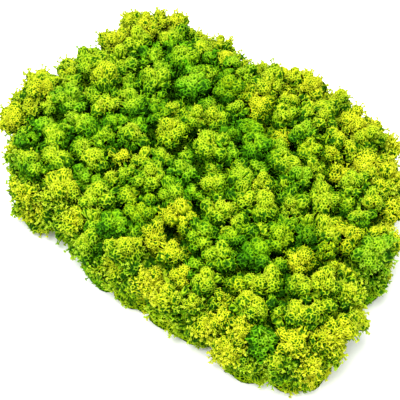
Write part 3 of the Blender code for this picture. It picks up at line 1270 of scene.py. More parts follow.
@dataclass(frozen=True)
class Heart:
    """The dense growth inside a tuft, coloured near black-green as painted shade."""

    share: float = 0.58
    body: float = 14.5 * MM
    foot: float = 21 * MM
    margin: float = 1.5 * MM
    foot_height: float = 2 * MM
    overlap: float = 0.8 * MM
    # A low tip value: the heart shows near black-green, as painted shade.
    tip_and_shade: float = -0.6
    rows: int = 12
    columns: int = 20


@dataclass
class Balls:
    """Balls side by side: middles, radii, the axes their cells are laid round and how coarse those are."""

    middles: Array
    radii: Array
    axes: Array
    coarseness: Array

    def drape(self, across: Array, bearing: Array, stretch: float) -> Array:
        """Lay points of the plane over each ball, round its axis.

        A point at distance r and bearing b goes to the polar angle 2 asin(r / 2) (1 + stretch r²) at the same
        bearing, which keeps areas where stretch is 0.

        Args:
            across: How far each point lies from the axis, balls x points.
            bearing: Its bearing round it, balls x points.
            stretch: How much the outer points are drawn down the sides.

        Returns:
            The unit directions of the points.
        """
        polar = 2 * np.arcsin(np.minimum(across / 2, 1)) * (1 + stretch * across**2)
        local = [np.sin(polar) * np.cos(bearing), np.sin(polar) * np.sin(bearing), np.cos(polar)]
        return turn_onto(np.stack(local, axis=2), self.axes)

    def buried_by_one_another(self, points: Array, margin: float) -> Array:
        """Tell which of the balls' own points lie inside another of the balls.

        Args:
            points: Balls x points x 3.
            margin: How many radii from a ball's middle still count as inside it.

        Returns:
            True where a point is inside.
        """
        far = np.linalg.norm(points[:, :, None] - self.middles[None, None], axis=3) / self.radii
        number = np.arange(len(self.radii))
        far[number, :, number] = np.inf
        return far.min(axis=2) <= margin


@dataclass
class Shade:
    """The light on a rounded form, worked out at the points of a ball and blended between them."""

    middle: Array
    axis: Array
    table: Array
    rows: int
    columns: int
    # The form's vigour, which also carries painted shade.
    vigour_and_shade: float = 0.0

    def at(self, points: Array) -> tuple[Array, Array]:
        """Read the light at points, blended between the four table points round each.

        Args:
            points: n x 3 points.

        Returns:
            The cosine of each point's angle from the form's axis, and its light, -1 where nothing near it is
            in the open.
        """
        away = unit(points - self.middle)
        frame = turn_onto(np.eye(3)[None], self.axis[None])[0]
        local = away @ frame.T
        polar = np.arccos(np.clip(local[:, 2], -1, 1))
        bearing = np.arctan2(local[:, 1], local[:, 0])
        row = np.clip(polar * (self.rows + 1) / math.pi - 1, 0, self.rows - 1)
        column = (bearing / math.tau) % 1 * self.columns
        low, left = np.minimum(row.astype(int), self.rows - 2), column.astype(int) % self.columns
        up, along = row - low, column - np.floor(column)
        right = (left + 1) % self.columns
        grid = self.table[: self.rows * self.columns].reshape(self.rows, self.columns)
        near = np.stack([grid[low, left], grid[low, right], grid[low + 1, left], grid[low + 1, right]])
        weights = np.stack([(1 - up) * (1 - along), (1 - up) * along, up * (1 - along), up * along])
        blended = (np.maximum(near, 0) * weights).sum(axis=0)
        return local[:, 2], np.where(near.max(axis=0) < 0, -1, blended)


@dataclass
class Branchwork:
    """The branchwork of one tuft, from its cut stalks to the branch ends.

    `floret_light` and `body_light` are the rows and columns of the points at which the light is worked out.
    """

    name: str
    index: int
    planting: Planting
    florets: Florets
    sky: Sky
    knob_weave: Weave = Weave(pitch=1.48 * MM, reach=1.5, stretch=0.11)
    round_weave: Weave = Weave(pitch=1.9 * MM, reach=1.85, point_share=0.28)
    body_weave: Weave = Weave(pitch=2.2 * MM, reach=1.85, point_share=0.45)
    tone: Tone = Tone()
    points: Points = Points()
    sprays: Sprays = Sprays()
    stalks: Stalks = Stalks()
    heart: Heart = Heart()
    flank_coarseness: float = 0.32
    old_coarseness: float = 0.40
    even_youth: float = 0.5
    knob_uprightness: float = 0.3
    dimmest: float = 0.012
    # How much each knob's own slope adds to the painted light on its top.
    lobe_top_light: float = 0.15
    buried: float = 1.03
    lowest_cell: float = 1.0 * MM
    floret_light_gap: float = 1.0 * MM
    floret_light: tuple[int, int] = (7, 12)
    body_light_gap: float = 0.5 * MM
    body_light: tuple[int, int] = (12, 20)
    body_youth: float = -0.15
    body_neighbours: float = 30 * MM
    ground_gap: float = 0.4 * MM
    growth: Growth = field(default_factory=Growth)

    def __post_init__(self) -> None:
        """Give the tuft its own random numbers and find its florets."""
        self.random = np.random.default_rng((SEED, self.index))
        self.own = np.flatnonzero(self.florets.owners == self.index)
        self.core = self.planting.cores()[self.index]
        self.root = self.planting.roots[self.index]
        self.inset = self.planting.outline.inset(self.root[None])[0]

    def add_clear(self, shape: Shape, tips_and_shade: Array, youths: Array, skin: Skin = Skin.BRANCH) -> None:
        """Add a shape, its points raised to clear the ground.

        Args:
            shape: The points and the triangles.
            tips_and_shade: How near each point is to the branch ends, with painted light and shade.
            youths: How young the growth is at each point, with painted light and shade.
            skin: The finish of the shape's faces.
        """
        points, triangles = shape
        points[:, 2] = np.maximum(points[:, 2], self.ground_gap)
        self.growth.add((points, triangles), tips_and_shade, youths, skin)

    def grow_florets(self) -> None:
        """Grow each floret's knobs, and its body between and under them."""
        local, _ = ball(*self.floret_light)
        florets = self.florets
        for floret in self.own:
            middle, axis, radius = florets.middles[floret], florets.axes[floret], florets.radii[floret]
            ways = turn_onto(local[None], axis[None])[0]
            points = middle + ways * (florets.reach(floret, ways) + self.floret_light_gap)[:, None]
            # The sky's light, worked out here, is painted into the colour values as light and shade.
            shade = Shade(middle, axis, self.sky.light(points), *self.floret_light, florets.vigours_and_shade[floret])
            if shade.table.max() < 0:
                continue
            others = florets.others_near(middle, radius * florets.widest_share, floret)
            knobs, knob_radii = florets.knob_middles[floret], florets.knob_radii[floret]
            body_radius = radius * florets.body_share
            outward = unit(knobs - middle)
            facing = unit(outward + axis * self.knob_uprightness)
            youth, foot = florets.youths[floret], florets.feet[floret]
            coarseness = 1 + self.flank_coarseness * (1 - outward @ axis)
            coarseness *= 1 + self.old_coarseness * (self.even_youth - youth)
            with_body = (np.vstack([others[0], middle]), np.append(others[1], body_radius))
            with_knobs = (np.vstack([others[0], knobs]), np.append(others[1], knob_radii))
            lobes = Balls(knobs, knob_radii, facing, coarseness)
            self.grow_balls(self.knob_weave, lobes, shade, with_body, youth, middle)
            round_body = Balls(middle[None], np.array([body_radius]), axis[None], np.ones(1))
            self.grow_balls(self.round_weave, round_body, shade, with_knobs, youth, foot)

    def grow_body(self) -> None:
        """Grow cells over the tuft's body where it shows between the florets."""
        local, _ = ball(*self.body_light)
        up, florets = np.array([0.0, 0.0, 1.0]), self.florets
        reach = florets.tuft_reach(self.index, local) + self.body_light_gap
        radii = np.array([florets.tuft_body, florets.tuft_foot])
        from_rim = max(self.inset - florets.tuft_body, 0)
        # Lighter towards the rim, as on the florets.
        vigour_and_shade = florets.rim_lightening * math.exp(-from_rim / florets.youth_rim_width)
        # The sky's light is painted into the body's colour values as light and shade.
        light = self.sky.light(self.core + local * reach[:, None])
        shade = Shade(self.core, up, light, *self.body_light, vigour_and_shade)
        middles = np.array([florets.set_in(self.index, radius) for radius in radii])
        others = florets.others_near(self.core, self.body_neighbours, -1)
        youth = florets.youths[self.own].mean() + self.body_youth
        balls = Balls(middles, radii, np.array([up, up]), np.ones(2))
        self.grow_balls(self.body_weave, balls, shade, others, youth, self.core)

    def grow_balls(
        self, weave: Weave, balls: Balls, shade: Shade, others: tuple[Array, Array], youth: float, foot: Array
    ) -> None:
        """Grow a shell over each of some balls, with a pit in every cell, and close it with its foot.

        The cells of a honeycomb are draped over each ball. Those show that are in some light, above the
        ground and outside the other balls.

        Args:
            weave: How the cells are laid and shaped.
            balls: The balls.
            shade: The light on the form that they belong to.
            others: The middles and radii of other balls that may bury them.
            youth: How young the growth is.
            foot: Where the shells' edges are drawn in to.
        """
        plane, rings = honeycomb(weave.pitch / balls.radii.mean(), weave.reach, self.random)
        each, count = len(rings), len(balls.radii)
        jitter = weave.jitter * weave.pitch / balls.radii.mean()
        plane = plane + self.random.normal(0, jitter, (count, *plane.shape))
        plane *= balls.coarseness[:, None, None]
        across = np.linalg.norm(plane, axis=2)
        bearing = np.arctan2(plane[:, :, 1], plane[:, :, 0]) + self.random.uniform(0, math.tau, (count, 1))
        ways = balls.drape(across, bearing, weave.stretch)
        base = balls.middles[:, None] + ways * balls.radii[:, None, None]
        slopes, light = (values.reshape(across.shape) for values in shade.at(base.reshape(-1, 3)))
        kept = (across < weave.reach) & (light > self.dimmest)
        kept &= base[:, :, 2] > self.ground_gap + self.lowest_cell
        kept &= ~balls.buried_by_one_another(base, self.buried)
        far = np.linalg.norm(base[kept][:, None] - others[0][None], axis=2) / others[1]
        kept[kept] = far.min(axis=1) > self.buried
        is_pit = np.arange(3 * each) >= 2 * each
        noise = self.random.normal(0, 1, across.shape)
        light = np.maximum(light, 0)
        # Painted light: each knob's own slope is mixed in, so each lobe's top shows lighter.
        slopes = (1 - self.lobe_top_light) * slopes + self.lobe_top_light * (ways @ shade.axis)
        # Painted light and shade: the tip values and youths follow the light and the slope.
        fresh_lit = self.tone.lit_freshness(slopes, light, shade.vigour_and_shade)
        lit = self.tone.lit(slopes, light)
        gone_share = weave.side_gone + (weave.top_gone - weave.side_gone) * lit
        gone = ~is_pit & (self.random.uniform(size=across.shape) < gone_share)
        # Painted shade: the pits' low tip values darken their floors, less so on a lit crown.
        pits = weave.side_pit * balls.coarseness[:, None] ** 2
        pits = pits + (weave.top_pit - pits) * lit + weave.pit_spread * noise
        # Missing corners get low tip values too: painted shade where pits run together.
        tips_and_shade = np.where(gone, weave.gone_tip + weave.gone_tip_spread * noise, fresh_lit)
        tips_and_shade = np.clip(np.where(is_pit, pits, tips_and_shade), weave.lowest_pit, 1).ravel()
        lift = weave.lifts(each, noise, is_pit, lit, gone)
        points = (base + ways * lift[:, :, None]).reshape(-1, 3)
        youths = self.tone.youths(youth, slopes, light, shade.vigour_and_shade).ravel()
        whole = (across[:, rings] < weave.reach + weave.edge_slack).all(axis=2)
        ball_number, cell = np.nonzero(kept[:, 2 * each :] & whole)
        if not len(cell):
            return
        start = (ball_number * 3 * each)[:, None]
        corners = rings[cell] + start
        corners = np.stack([corners, np.roll(corners, -1, axis=1)], axis=-1)
        pit = np.broadcast_to((cell[:, None] + start + 2 * each)[:, :, None], (*corners.shape[:2], 1))
        faces = np.concatenate([corners, pit], axis=-1).reshape(-1, 3)
        used, triangles = np.unique(faces, return_inverse=True)
        triangles = triangles.reshape(-1, 3)
        triangles = np.concatenate([triangles, drawn_in(triangles, len(used))])
        shell = (np.vstack([points[used], foot]), triangles)
        self.add_clear(shell, np.append(tips_and_shade[used], weave.foot_tip), np.append(youths[used], youth))
        shown = kept & ~gone & ~is_pit & (np.arange(3 * each) >= each)
        ends = np.flatnonzero(shown.ravel() & (self.random.uniform(size=shown.size) < weave.point_share))
        ways, fresh_lit = ways.reshape(-1, 3), fresh_lit.ravel()
        self.grow_points(points[ends], ways[ends], fresh_lit[ends], youths[ends])
        self.grow_sprays(points[ends], ways[ends], fresh_lit[ends], youths[ends])

    def grow_points(self, feet: Array, ways: Array, lit_freshness: Array, youths: Array) -> None:
        """Set short points on a shell's corners, each leaning its own way.

        Args:
            feet: The corners.
            ways: The ways that the shell faces there.
            lit_freshness: Each corner's tip value, with painted light and shade.
            youths: How young each is, with painted light and shade.
        """
        count, form = len(feet), self.points
        out = unit(ways + self.random.normal(0, form.lean, ways.shape))
        lengths = form.length + self.random.uniform(-1, 1, count) * form.length_spread
        shape = spikes(feet - out * form.root, out, lengths + form.root, np.full(count, form.radius))
        tips_and_shade = lit_freshness[:, None] * form.shades
        self.add_clear(shape, tips_and_shade.ravel(), np.repeat(youths, len(form.shades)))

    def grow_sprays(self, points: Array, ways: Array, lit_freshness: Array, youths: Array) -> None:
        """Let some loose forked sprays stand out of the net, most of them along the clump's rim.

        Args:
            points: The net's corners where one may stand.
            ways: The ways that the shell faces there.
            lit_freshness: Each corner's tip value, with painted light and shade.
            youths: How young each is, with painted light and shade.
        """
        form = self.sprays
        at_rim = self.planting.outline.inset(points[:, :2]) < form.rim_width
        share = np.where(at_rim, form.rim_share, form.share)
        chosen = np.flatnonzero(self.random.uniform(size=len(points)) < share)
        lean = self.random.normal(0, form.lean, (len(chosen), 3))
        out = unit(ways[chosen] + lean + [0, 0, form.rise])
        longer = np.where(at_rim[chosen], form.rim_extra, 0.0)
        feet = points[chosen] - ways[chosen] * form.root
        self.add_sprays(feet, out, lit_freshness[chosen], youths[chosen], longer)

    def add_sprays(self, feet: Array, out: Array, lit_freshness: Array, youths: Array, longer: Array) -> None:
        """Add forked sprays: a stem and club-shaped arms splayed from its end.

        Args:
            feet: Where the stems start.
            out: The ways that they grow.
            lit_freshness: Each spray's tip value, with painted light and shade, from 0 to 1.
            youths: How young each spray is, with painted light and shade.
            longer: A length to add to each stem.
        """
        count, form = len(feet), self.sprays
        if not count:
            return
        length = form.length + longer + self.random.uniform(-1, 1, count) * form.length_spread
        forks = feet + out * length[:, None]
        arm_ways = self.splayed(out)
        arm_length = form.arm_length * self.random.uniform(*form.arm_lengths, len(arm_ways))
        radii = np.full((count, 2), form.radius) * form.taper
        stems = carry_profile(np.stack([feet, forks], axis=1), radii, form.sides)
        tips_and_shade = np.repeat((lit_freshness[:, None] * form.stem_shades).ravel(), form.sides)
        self.add_clear(stems, tips_and_shade, np.repeat(youths, 2 * form.sides))
        arm_feet = np.repeat(forks, form.arms, axis=0) - arm_ways * form.arm_root
        club_radii = np.full(len(arm_feet), form.club_radius)
        arms = clubs(arm_feet, arm_ways, arm_length, club_radii, form.widest)
        tips_and_shade = np.repeat(lit_freshness, form.arms)[:, None] * form.arm_shades
        self.add_clear(arms, tips_and_shade.ravel(), np.repeat(youths, len(form.arm_shades) * form.arms))

    def splayed(self, ways: Array) -> Array:
        """Splay a spray's arms evenly round each given way.

        Args:
            ways: n x 3 unit directions.

        Returns:
            The arms' directions, those of each spray one after another.
        """
        each, form = self.sprays.arms, self.sprays
        turn = math.tau * np.arange(each) / each + self.random.uniform(0, math.tau, (len(ways), 1))
        angle = form.splay * self.random.uniform(*form.splays, turn.shape)
        local = [np.sin(angle) * np.cos(turn), np.sin(angle) * np.sin(turn), np.cos(angle)]
        return turn_onto(np.stack(local, axis=-1), ways).reshape(-1, 3)

    def grow_stalks(self) -> None:
        """Raise a bent stalk from the cut foot to each floret's foot."""
        form, flat = self.stalks, np.array([1, 1, 0])
        ends = self.florets.feet[self.own]
        ends = ends * flat + np.maximum(ends[:, 2:3], form.lowest_end) * [0, 0, 1]
        root = np.array([*self.root, self.ground_gap])
        lean = (ends - root) * [form.lean, form.lean, 0]
        far = np.maximum(np.linalg.norm(lean, axis=1, keepdims=True) / form.reach, 1)
        feet = root + lean / far + self.random.normal(0, form.scatter, lean.shape) * flat
        leave, arrive = ends[:, 2:3] * [0, 0, form.rise], self.florets.axes[self.own] * form.arrive
        paths = bent_paths(feet, ends, leave, arrive, form.rows)
        radii = np.tile(np.linspace(form.radius, form.taper * form.radius, form.rows), (len(feet), 1))
        tips_and_shade = np.tile(np.linspace(form.cut_tip, form.top_tip, form.rows), (len(feet), 1))
        youths = np.repeat(self.florets.youths[self.own], form.rows * form.sides)
        self.growth.add(carry_profile(paths, radii, form.sides), np.repeat(tips_and_shade.ravel(), form.sides), youths)

    def grow_heart(self) -> None:
        """Fill the tuft with its dense growth, a lumpy ball inside the branchwork, coloured dark as painted
        shade.

        The point along each way is the core plus how far a ray goes before it leaves the last of the shrunken
        heads, the body and the foot, or meets a wall of the tuft's cell.
        """
        form, florets = self.heart, self.florets
        own = np.flatnonzero(self.planting.owners == self.index)
        body = florets.set_in(self.index, form.body, margin=form.margin)
        foot = florets.set_in(self.index, form.foot, form.foot_height, form.margin)
        middles = np.vstack([florets.middles[own], body, foot])
        radii = np.append(florets.radii[own] * form.share, [form.body, form.foot])
        local, triangles = ball(form.rows, form.columns)
        reach = reach_of_spheres(self.core, local, middles, radii)
        reach = np.minimum(reach, self.planting.walls_along(self.index, self.core, local, form.overlap))
        points = self.core + local * reach[:, None]
        youths = np.full(len(points), florets.youths[own].mean())
        self.add_clear((points, triangles), np.full(len(points), form.tip_and_shade), youths, Skin.HEART)

    def build(self, materials: list[bpy.types.Material]) -> bpy.types.Object:
        """Grow the whole tuft and make it a piece that stands in for its solid.

        Args:
            materials: The branches' finish and the heart's.

        Returns:
            The finished piece.
        """
        self.grow_heart()
        self.grow_stalks()
        self.grow_florets()
        self.grow_body()
        piece = bpy.data.objects.new(f"{self.name}_branchwork", self.growth.to_mesh(self.name))
        bpy.context.scene.collection.objects.link(piece)
        for material in materials:
            piece.data.materials.append(material)
        youth = self.planting.dye.youth(self.root[None], self.inset[None])[0]
        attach(piece, BODY)
        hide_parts(self.name)
        Slot.for_youth(youth).value
        return piece


# Finishes


NUMBER = "NodeSocketFloat"
COLOUR = "NodeSocketColor"
VECTOR = "NodeSocketVector"

# The sockets of a mix node that carry a share and two colours, and the colour that it puts out
MIX_SHARE, MIX_FIRST, MIX_SECOND, MIX_RESULT = 0, 6, 7, 2


@dataclass
class NodeSheet:
    """A node tree and short ways to fill it."""

    tree: bpy.types.NodeTree

    def node(
        self, kind: str, values: dict[str | int, object] | None = None, **settings: object
    ) -> bpy.types.Node:
        """Add a node, set its properties, and set or link its inputs.

        Args:
            kind: The node's type name.
            values: For an input's name or index, a value or the socket to link to it.
            settings: Properties of the node itself.

        Returns:
            The new node.
        """
        node = self.tree.nodes.new(kind)
        for key, value in settings.items():
            setattr(node, key, value)
        for key, value in (values or {}).items():
            if isinstance(value, bpy.types.NodeSocket):
                self.tree.links.new(value, node.inputs[key])
            else:
                node.inputs[key].default_value = value
        return node

    def mix(self, share: object, first: object, second: object) -> bpy.types.NodeSocket:
        """Return the mix of two colours by a share from 0 to 1."""
        values = {MIX_SHARE: share, MIX_FIRST: first, MIX_SECOND: second}
        return self.node("ShaderNodeMix", values, data_type="RGBA", clamp_factor=True).outputs[MIX_RESULT]

    def maths(
        self, operation: str, first: object, second: object, clamp: bool = False
    ) -> bpy.types.NodeSocket:
        """Return the result of one operation on two numbers."""
        values = {0: first, 1: second}
        return self.node("ShaderNodeMath", values, operation=operation, use_clamp=clamp).outputs[0]

    def vectors(self, operation: str, values: dict[str | int, object]) -> bpy.types.NodeSocket:
        """Return the result of one operation on vectors."""
        return self.node("ShaderNodeVectorMath", values, operation=operation).outputs[0]

    def ramp(self, value: object, low: float, high: float) -> bpy.types.NodeSocket:
        """Return 0 under low, 1 over high and a smooth rise between them."""
        values = {"Value": value, "From Min": low, "From Max": high}
        return self.node("ShaderNodeMapRange", values, interpolation_type="SMOOTHSTEP").outputs[0]

    def spread(
        self, value: object, of: tuple[float, float], to: tuple[object, object]
    ) -> bpy.types.NodeSocket:
        """Return the value carried evenly from one range to another, and held at its ends."""
        values = {"Value": value, "From Min": of[0], "From Max": of[1], "To Min": to[0], "To Max": to[1]}
        return self.node("ShaderNodeMapRange", values).outputs[0]

    def noise(
        self, place: object, scale: object, detail: float = 2.0, gives: str = "Fac"
    ) -> bpy.types.NodeSocket:
        """Return a noise with features of one over scale metres: a number from 0 to 1, or a colour."""
        values = {"Vector": place, "Scale": scale, "Detail": detail}
        return self.node("ShaderNodeTexNoise", values).outputs[gives]


def new_group(name: str, takes: dict[str, str], gives: dict[str, str]) -> tuple[NodeSheet, dict, dict]:
    """Start a shader node group.

    Args:
        name: The group's name.
        takes: Names and socket types of its inputs.
        gives: Names and socket types of its outputs.

    Returns:
        The group's sheet, its inputs' sockets inside and its outputs' sockets inside, by name.
    """
    tree = bpy.data.node_groups.new(name, "ShaderNodeTree")
    for label, kind in takes.items():
        tree.interface.new_socket(label, in_out="INPUT", socket_type=kind)
    for label, kind in gives.items():
        tree.interface.new_socket(label, in_out="OUTPUT", socket_type=kind)
    inside = tree.nodes.new("NodeGroupInput").outputs
    out = tree.nodes.new("NodeGroupOutput").inputs
    return NodeSheet(tree), {label: inside[label] for label in takes}, {label: out[label] for label in gives}


@dataclass(frozen=True)
class DyeAgeAndLight:
    """The shared colouring of growth by its age and its nearness to the branch ends, with the light and shade
    painted into its tip values, and soft mottling.

    A pair named after a colour says between which tip values it is reached from the one below it.
    """

    above_foot: tuple[float, float] = (-6.0, -4.0)
    shaded: tuple[float, float] = (-0.6, 0.2)
    fresh_lit: tuple[float, float] = (0.1, 0.9)
    # Pale ends on lit tops: the branch ends' own paleness with a painted highlight.
    palest_highlight: tuple[float, float] = (0.8, 1.0)
    pale_highlight_share: float = 0.22
    pale: Colour = (0.60, 0.63, 0.12)
    mottle_scale: float = 160.0
    even_mottle: float = 0.5
    speck_scale: float = 1400.0
    speck_range: tuple[float, float] = (0.3, 0.7)
    speck_shades: tuple[float, float] = (0.82, 1.15)

    def group(self) -> bpy.types.ShaderNodeTree:
        """Make the shader node group.

        Returns:
            Its tree.
        """
        takes = {"Tip_and_shade": NUMBER, "Youth": NUMBER, "Place": VECTOR, "Mottle": NUMBER}
        takes |= {label: COLOUR for label in ("Foot", "Deep", "Shaded", "Green", "Yellow")}
        sheet, take, give = new_group("dye_age_and_painted_light", takes, {"Colour": COLOUR})
        patchy = sheet.maths("SUBTRACT", sheet.noise(take["Place"], self.mottle_scale), self.even_mottle)
        mottled = sheet.maths("MULTIPLY", patchy, take["Mottle"])
        youth = sheet.maths("ADD", take["Youth"], mottled, clamp=True)
        fresh_lit = sheet.mix(youth, take["Green"], take["Yellow"])
        # Painted shade: low tip values, in pits and shaded places, go from deep shade to shaded green.
        dim = sheet.mix(sheet.ramp(take["Tip_and_shade"], *self.shaded), take["Deep"], take["Shaded"])
        # Pale ends on lit tops: their own paleness with a painted highlight.
        pale = sheet.maths("MULTIPLY", sheet.ramp(take["Tip_and_shade"], *self.palest_highlight), self.pale_highlight_share)
        fresh_lit = sheet.mix(pale, fresh_lit, (*self.pale, 1))
        grown = sheet.mix(sheet.ramp(take["Tip_and_shade"], *self.fresh_lit), dim, fresh_lit)
        footed = sheet.mix(sheet.ramp(take["Tip_and_shade"], *self.above_foot), take["Foot"], grown)
        speck = sheet.noise(take["Place"], self.speck_scale)
        shade = sheet.spread(speck, self.speck_range, self.speck_shades)
        sheet.tree.links.new(sheet.vectors("SCALE", {0: footed, "Scale": shade}), give["Colour"])
        return sheet.tree


@dataclass(frozen=True)
class FeltedSkin:
    """The shared fine felted skin: a roughness that varies and a height for bumps."""

    detail: float = 3.0
    grain_range: tuple[float, float] = (0.3, 0.7)

    def group(self) -> bpy.types.ShaderNodeTree:
        """Make the shader node group.

        Returns:
            Its tree.
        """
        takes = {"Place": VECTOR, "Scale": NUMBER, "Smoothest": NUMBER, "Roughest": NUMBER}
        sheet, take, give = new_group("felted_skin", takes, {"Roughness": NUMBER, "Height": NUMBER})
        grain = sheet.noise(take["Place"], take["Scale"], self.detail)
        rough = sheet.spread(grain, self.grain_range, (take["Smoothest"], take["Roughest"]))
        sheet.tree.links.new(rough, give["Roughness"])
        sheet.tree.links.new(grain, give["Height"])
        return sheet.tree


@dataclass(frozen=True)
class LowerStrands:
    """The shared net of lower threads, painted where the growth lies deep.

    The threads are the borders of bent Voronoi cells. On a thread the tip value is raised by `Net` from
    `Lowest` at least. The net gives way to the plain tip value between the two values of `low_down`.
    """

    bend_scale: float = 300.0
    bend_detail: float = 1.0
    bend: float = 2 * MM
    thread: tuple[float, float] = (0.04, 0.26)
    low_down: tuple[float, float] = (-0.1, 0.4)

    def group(self) -> bpy.types.ShaderNodeTree:
        """Make the shader node group.

        Returns:
            Its tree.
        """
        takes = {"Place": VECTOR, "Tip_and_shade": NUMBER, "Scale": NUMBER, "Net": NUMBER, "Lowest": NUMBER}
        sheet, take, give = new_group("lower_strands", takes, {"Tip_and_shade": NUMBER})
        bent = sheet.noise(take["Place"], self.bend_scale, self.bend_detail, "Color")
        pulled = sheet.vectors("SCALE", {0: bent, "Scale": self.bend})
        place = sheet.vectors("ADD", {0: take["Place"], 1: pulled})
        values = {"Vector": place, "Scale": take["Scale"]}
        cells = sheet.node("ShaderNodeTexVoronoi", values, feature="DISTANCE_TO_EDGE").outputs["Distance"]
        thread = sheet.maths("SUBTRACT", 1.0, sheet.ramp(cells, *self.thread))
        low = sheet.maths("MAXIMUM", take["Tip_and_shade"], take["Lowest"])
        lifted = sheet.maths("ADD", low, sheet.maths("MULTIPLY", thread, take["Net"]))
        low_down = sheet.maths("SUBTRACT", 1.0, sheet.ramp(take["Tip_and_shade"], *self.low_down))
        change = sheet.maths("MULTIPLY", low_down, sheet.maths("SUBTRACT", lifted, take["Tip_and_shade"]))
        sheet.tree.links.new(sheet.maths("ADD", take["Tip_and_shade"], change), give["Tip_and_shade"])
        return sheet.tree


@dataclass(frozen=True)
class LichenFinish:
    """A dyed lichen surface: its colours from the cut foot to the branch ends, with painted shade in its pits
    and painted light on its lit tops, its net of threads, its felted skin and bumps.
    """

    name: str
    foot: Colour = (0.10, 0.085, 0.02)
    # Painted shade: the deep colour of the pit floors and the heart.
    deep: Colour = (0.006, 0.034, 0.001)
    shaded: Colour = (0.026, 0.125, 0.002)
    green: Colour = (0.125, 0.45, 0.004)
    yellow: Colour = (0.62, 0.66, 0.008)
    mottle: float = 0.5
    smoothest: float = 0.5
    roughest: float = 0.8
    grain: float = 2600.0
    bump: float = 0.35
    shine: float = 0.02
    bump_depth: float = 0.08 * MM
    net: float = 0.38
    net_scale: float = 700.0
    lowest: float = -0.7

    def material(self, groups: dict[str, bpy.types.ShaderNodeTree]) -> bpy.types.Material:
        """Make a material of the finish.

        Args:
            groups: The shared groups: strands, dye and skin.

        Returns:
            The material.
        """
        material = bpy.data.materials.new(self.name)
        material.use_nodes = True
        sheet = NodeSheet(material.node_tree)
        shader = material.node_tree.nodes["Principled BSDF"]
        place = sheet.node("ShaderNodeTexCoord").outputs["Object"]
        tip_and_shade = sheet.node("ShaderNodeAttribute", attribute_name="tip_and_shade").outputs["Fac"]
        youth = sheet.node("ShaderNodeAttribute", attribute_name="youth").outputs["Fac"]
        values = {"Place": place, "Tip_and_shade": tip_and_shade, "Scale": self.net_scale, "Net": self.net, "Lowest": self.lowest}
        strands = sheet.node("ShaderNodeGroup", values, node_tree=groups["strands"])
        values = {"Place": place, "Tip_and_shade": strands.outputs["Tip_and_shade"], "Youth": youth, "Mottle": self.mottle}
        values |= {"Foot": (*self.foot, 1), "Deep": (*self.deep, 1), "Shaded": (*self.shaded, 1)}
        values |= {"Green": (*self.green, 1), "Yellow": (*self.yellow, 1)}
        dye = sheet.node("ShaderNodeGroup", values, node_tree=groups["dye"])
        values = {"Place": place, "Scale": self.grain, "Smoothest": self.smoothest, "Roughest": self.roughest}
        skin = sheet.node("ShaderNodeGroup", values, node_tree=groups["skin"])
        values = {"Height": skin.outputs["Height"], "Strength": self.bump, "Distance": self.bump_depth}
        bump = sheet.node("ShaderNodeBump", values)
        shader.inputs["Specular IOR Level"].default_value = self.shine
        sheet.tree.links.new(dye.outputs["Colour"], shader.inputs["Base Color"])
        sheet.tree.links.new(skin.outputs["Roughness"], shader.inputs["Roughness"])
        sheet.tree.links.new(bump.outputs["Normal"], shader.inputs["Normal"])
        return material


# The studio


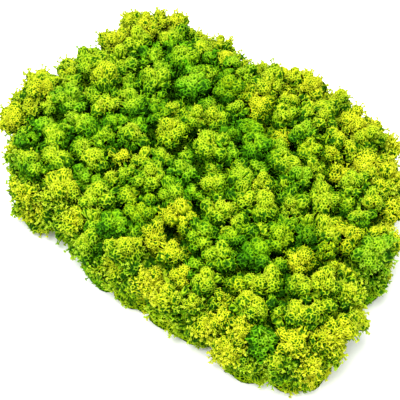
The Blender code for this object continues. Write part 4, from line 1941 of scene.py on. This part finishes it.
@dataclass
class Studio:
    """A pale floor, soft white light from above and the camera at the photo's angle."""

    azimuth: float = math.radians(36.5)
    elevation: float = math.radians(51)
    distance: float = 0.7025
    lens_mm: float = 110.7
    sensor_mm: float = 36
    aim_right: float = -3.85 * MM
    aim_up: float = -14.65 * MM
    aim_height: float = 25 * MM
    floor_size: float = 6.0
    floor_colour: Colour = (0.97, 0.97, 0.97)
    floor_roughness: float = 0.9
    sky: float = 1.3
    key_power: float = 22.8
    key_size: float = 0.9
    key_place: tuple[float, float, float] = (-0.02, -0.36, 1.3)

    def build(self) -> None:
        """Set up the floor, the light and the camera."""
        self.lay_floor()
        self.light()
        self.place_camera()
        scene = bpy.context.scene
        scene.view_settings.view_transform = "Standard"

    def lay_floor(self) -> None:
        """Lay a large flat floor at the ground."""
        half = self.floor_size / 2
        mesh = bpy.data.meshes.new("pale_floor")
        corners = [(-half, -half, 0), (half, -half, 0), (half, half, 0), (-half, half, 0)]
        mesh.from_pydata(corners, [], [(0, 1, 2, 3)])
        material = bpy.data.materials.new("pale_floor")
        material.use_nodes = True
        shader = material.node_tree.nodes["Principled BSDF"]
        shader.inputs["Base Color"].default_value = (*self.floor_colour, 1)
        shader.inputs["Roughness"].default_value = self.floor_roughness
        shader.inputs["Specular IOR Level"].default_value = 0.0
        mesh.materials.append(material)
        floor = bpy.data.objects.new("pale_floor", mesh)
        bpy.context.scene.collection.objects.link(floor)

    def light(self) -> None:
        """Hang one broad lamp above the clump in an even white surround."""
        world = bpy.data.worlds.new("studio")
        world.use_nodes = True
        world.node_tree.nodes["Background"].inputs["Color"].default_value = (1, 1, 1, 1)
        world.node_tree.nodes["Background"].inputs["Strength"].default_value = self.sky
        bpy.context.scene.world = world
        lamp = bpy.data.lights.new("key_lamp", "AREA")
        lamp.shape = "DISK"
        lamp.size = self.key_size
        lamp.energy = self.key_power
        holder = bpy.data.objects.new("key_lamp", lamp)
        holder.location = self.key_place
        holder.rotation_euler = (-Vector(self.key_place)).to_track_quat("-Z", "Y").to_euler()
        bpy.context.scene.collection.objects.link(holder)

    def place_camera(self) -> None:
        """Put the camera back from its aim point along the photo's line of sight."""
        across = Vector((math.cos(self.azimuth), math.sin(self.azimuth), 0))
        level, up = math.cos(self.elevation), math.sin(self.elevation)
        back = Vector((math.sin(self.azimuth) * level, -math.cos(self.azimuth) * level, up))
        aim = Vector((0, 0, self.aim_height)) + across * self.aim_right + back.cross(across) * self.aim_up
        lens = bpy.data.cameras.new("photo_camera")
        lens.lens = self.lens_mm
        lens.sensor_width = self.sensor_mm
        camera = bpy.data.objects.new("photo_camera", lens)
        camera.location = aim + back * self.distance
        camera.rotation_euler = back.to_track_quat("Z", "Y").to_euler()
        bpy.context.scene.collection.objects.link(camera)
        bpy.context.scene.camera = camera


def main() -> None:
    """Build every tuft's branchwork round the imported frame, then the studio, and keep the sizes."""
    logging.basicConfig(level=logging.INFO, format="%(name)s: %(message)s")
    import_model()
    planting = Planting()
    sky = Sky(planting)
    florets = Florets(planting, sky)
    groups = {"strands": LowerStrands().group(), "dye": DyeAgeAndLight().group(), "skin": FeltedSkin().group()}
    branches = LichenFinish("dyed_lichen_light_and_shade")
    # The heart's deep colour is near black: painted shade inside the tuft.
    heart = LichenFinish("dense_heart_painted_shade", deep=(0.004, 0.022, 0.001), net=1.15, net_scale=460.0, shine=0.0)
    materials = [finish.material(groups) for finish in (branches, heart)]
    total = 0
    for index, name in enumerate(planting.names()):
        piece = Branchwork(name, index, planting, florets, sky).build(materials)
        total += len(piece.data.polygons)
        LOG.info("%s: %d triangles", piece.name, len(piece.data.polygons))
    LOG.info("%d heads, %d florets, %d triangles in all", len(planting.heads), len(florets.middles), total)
    Studio().build()


if __name__ == "__main__":
    main()
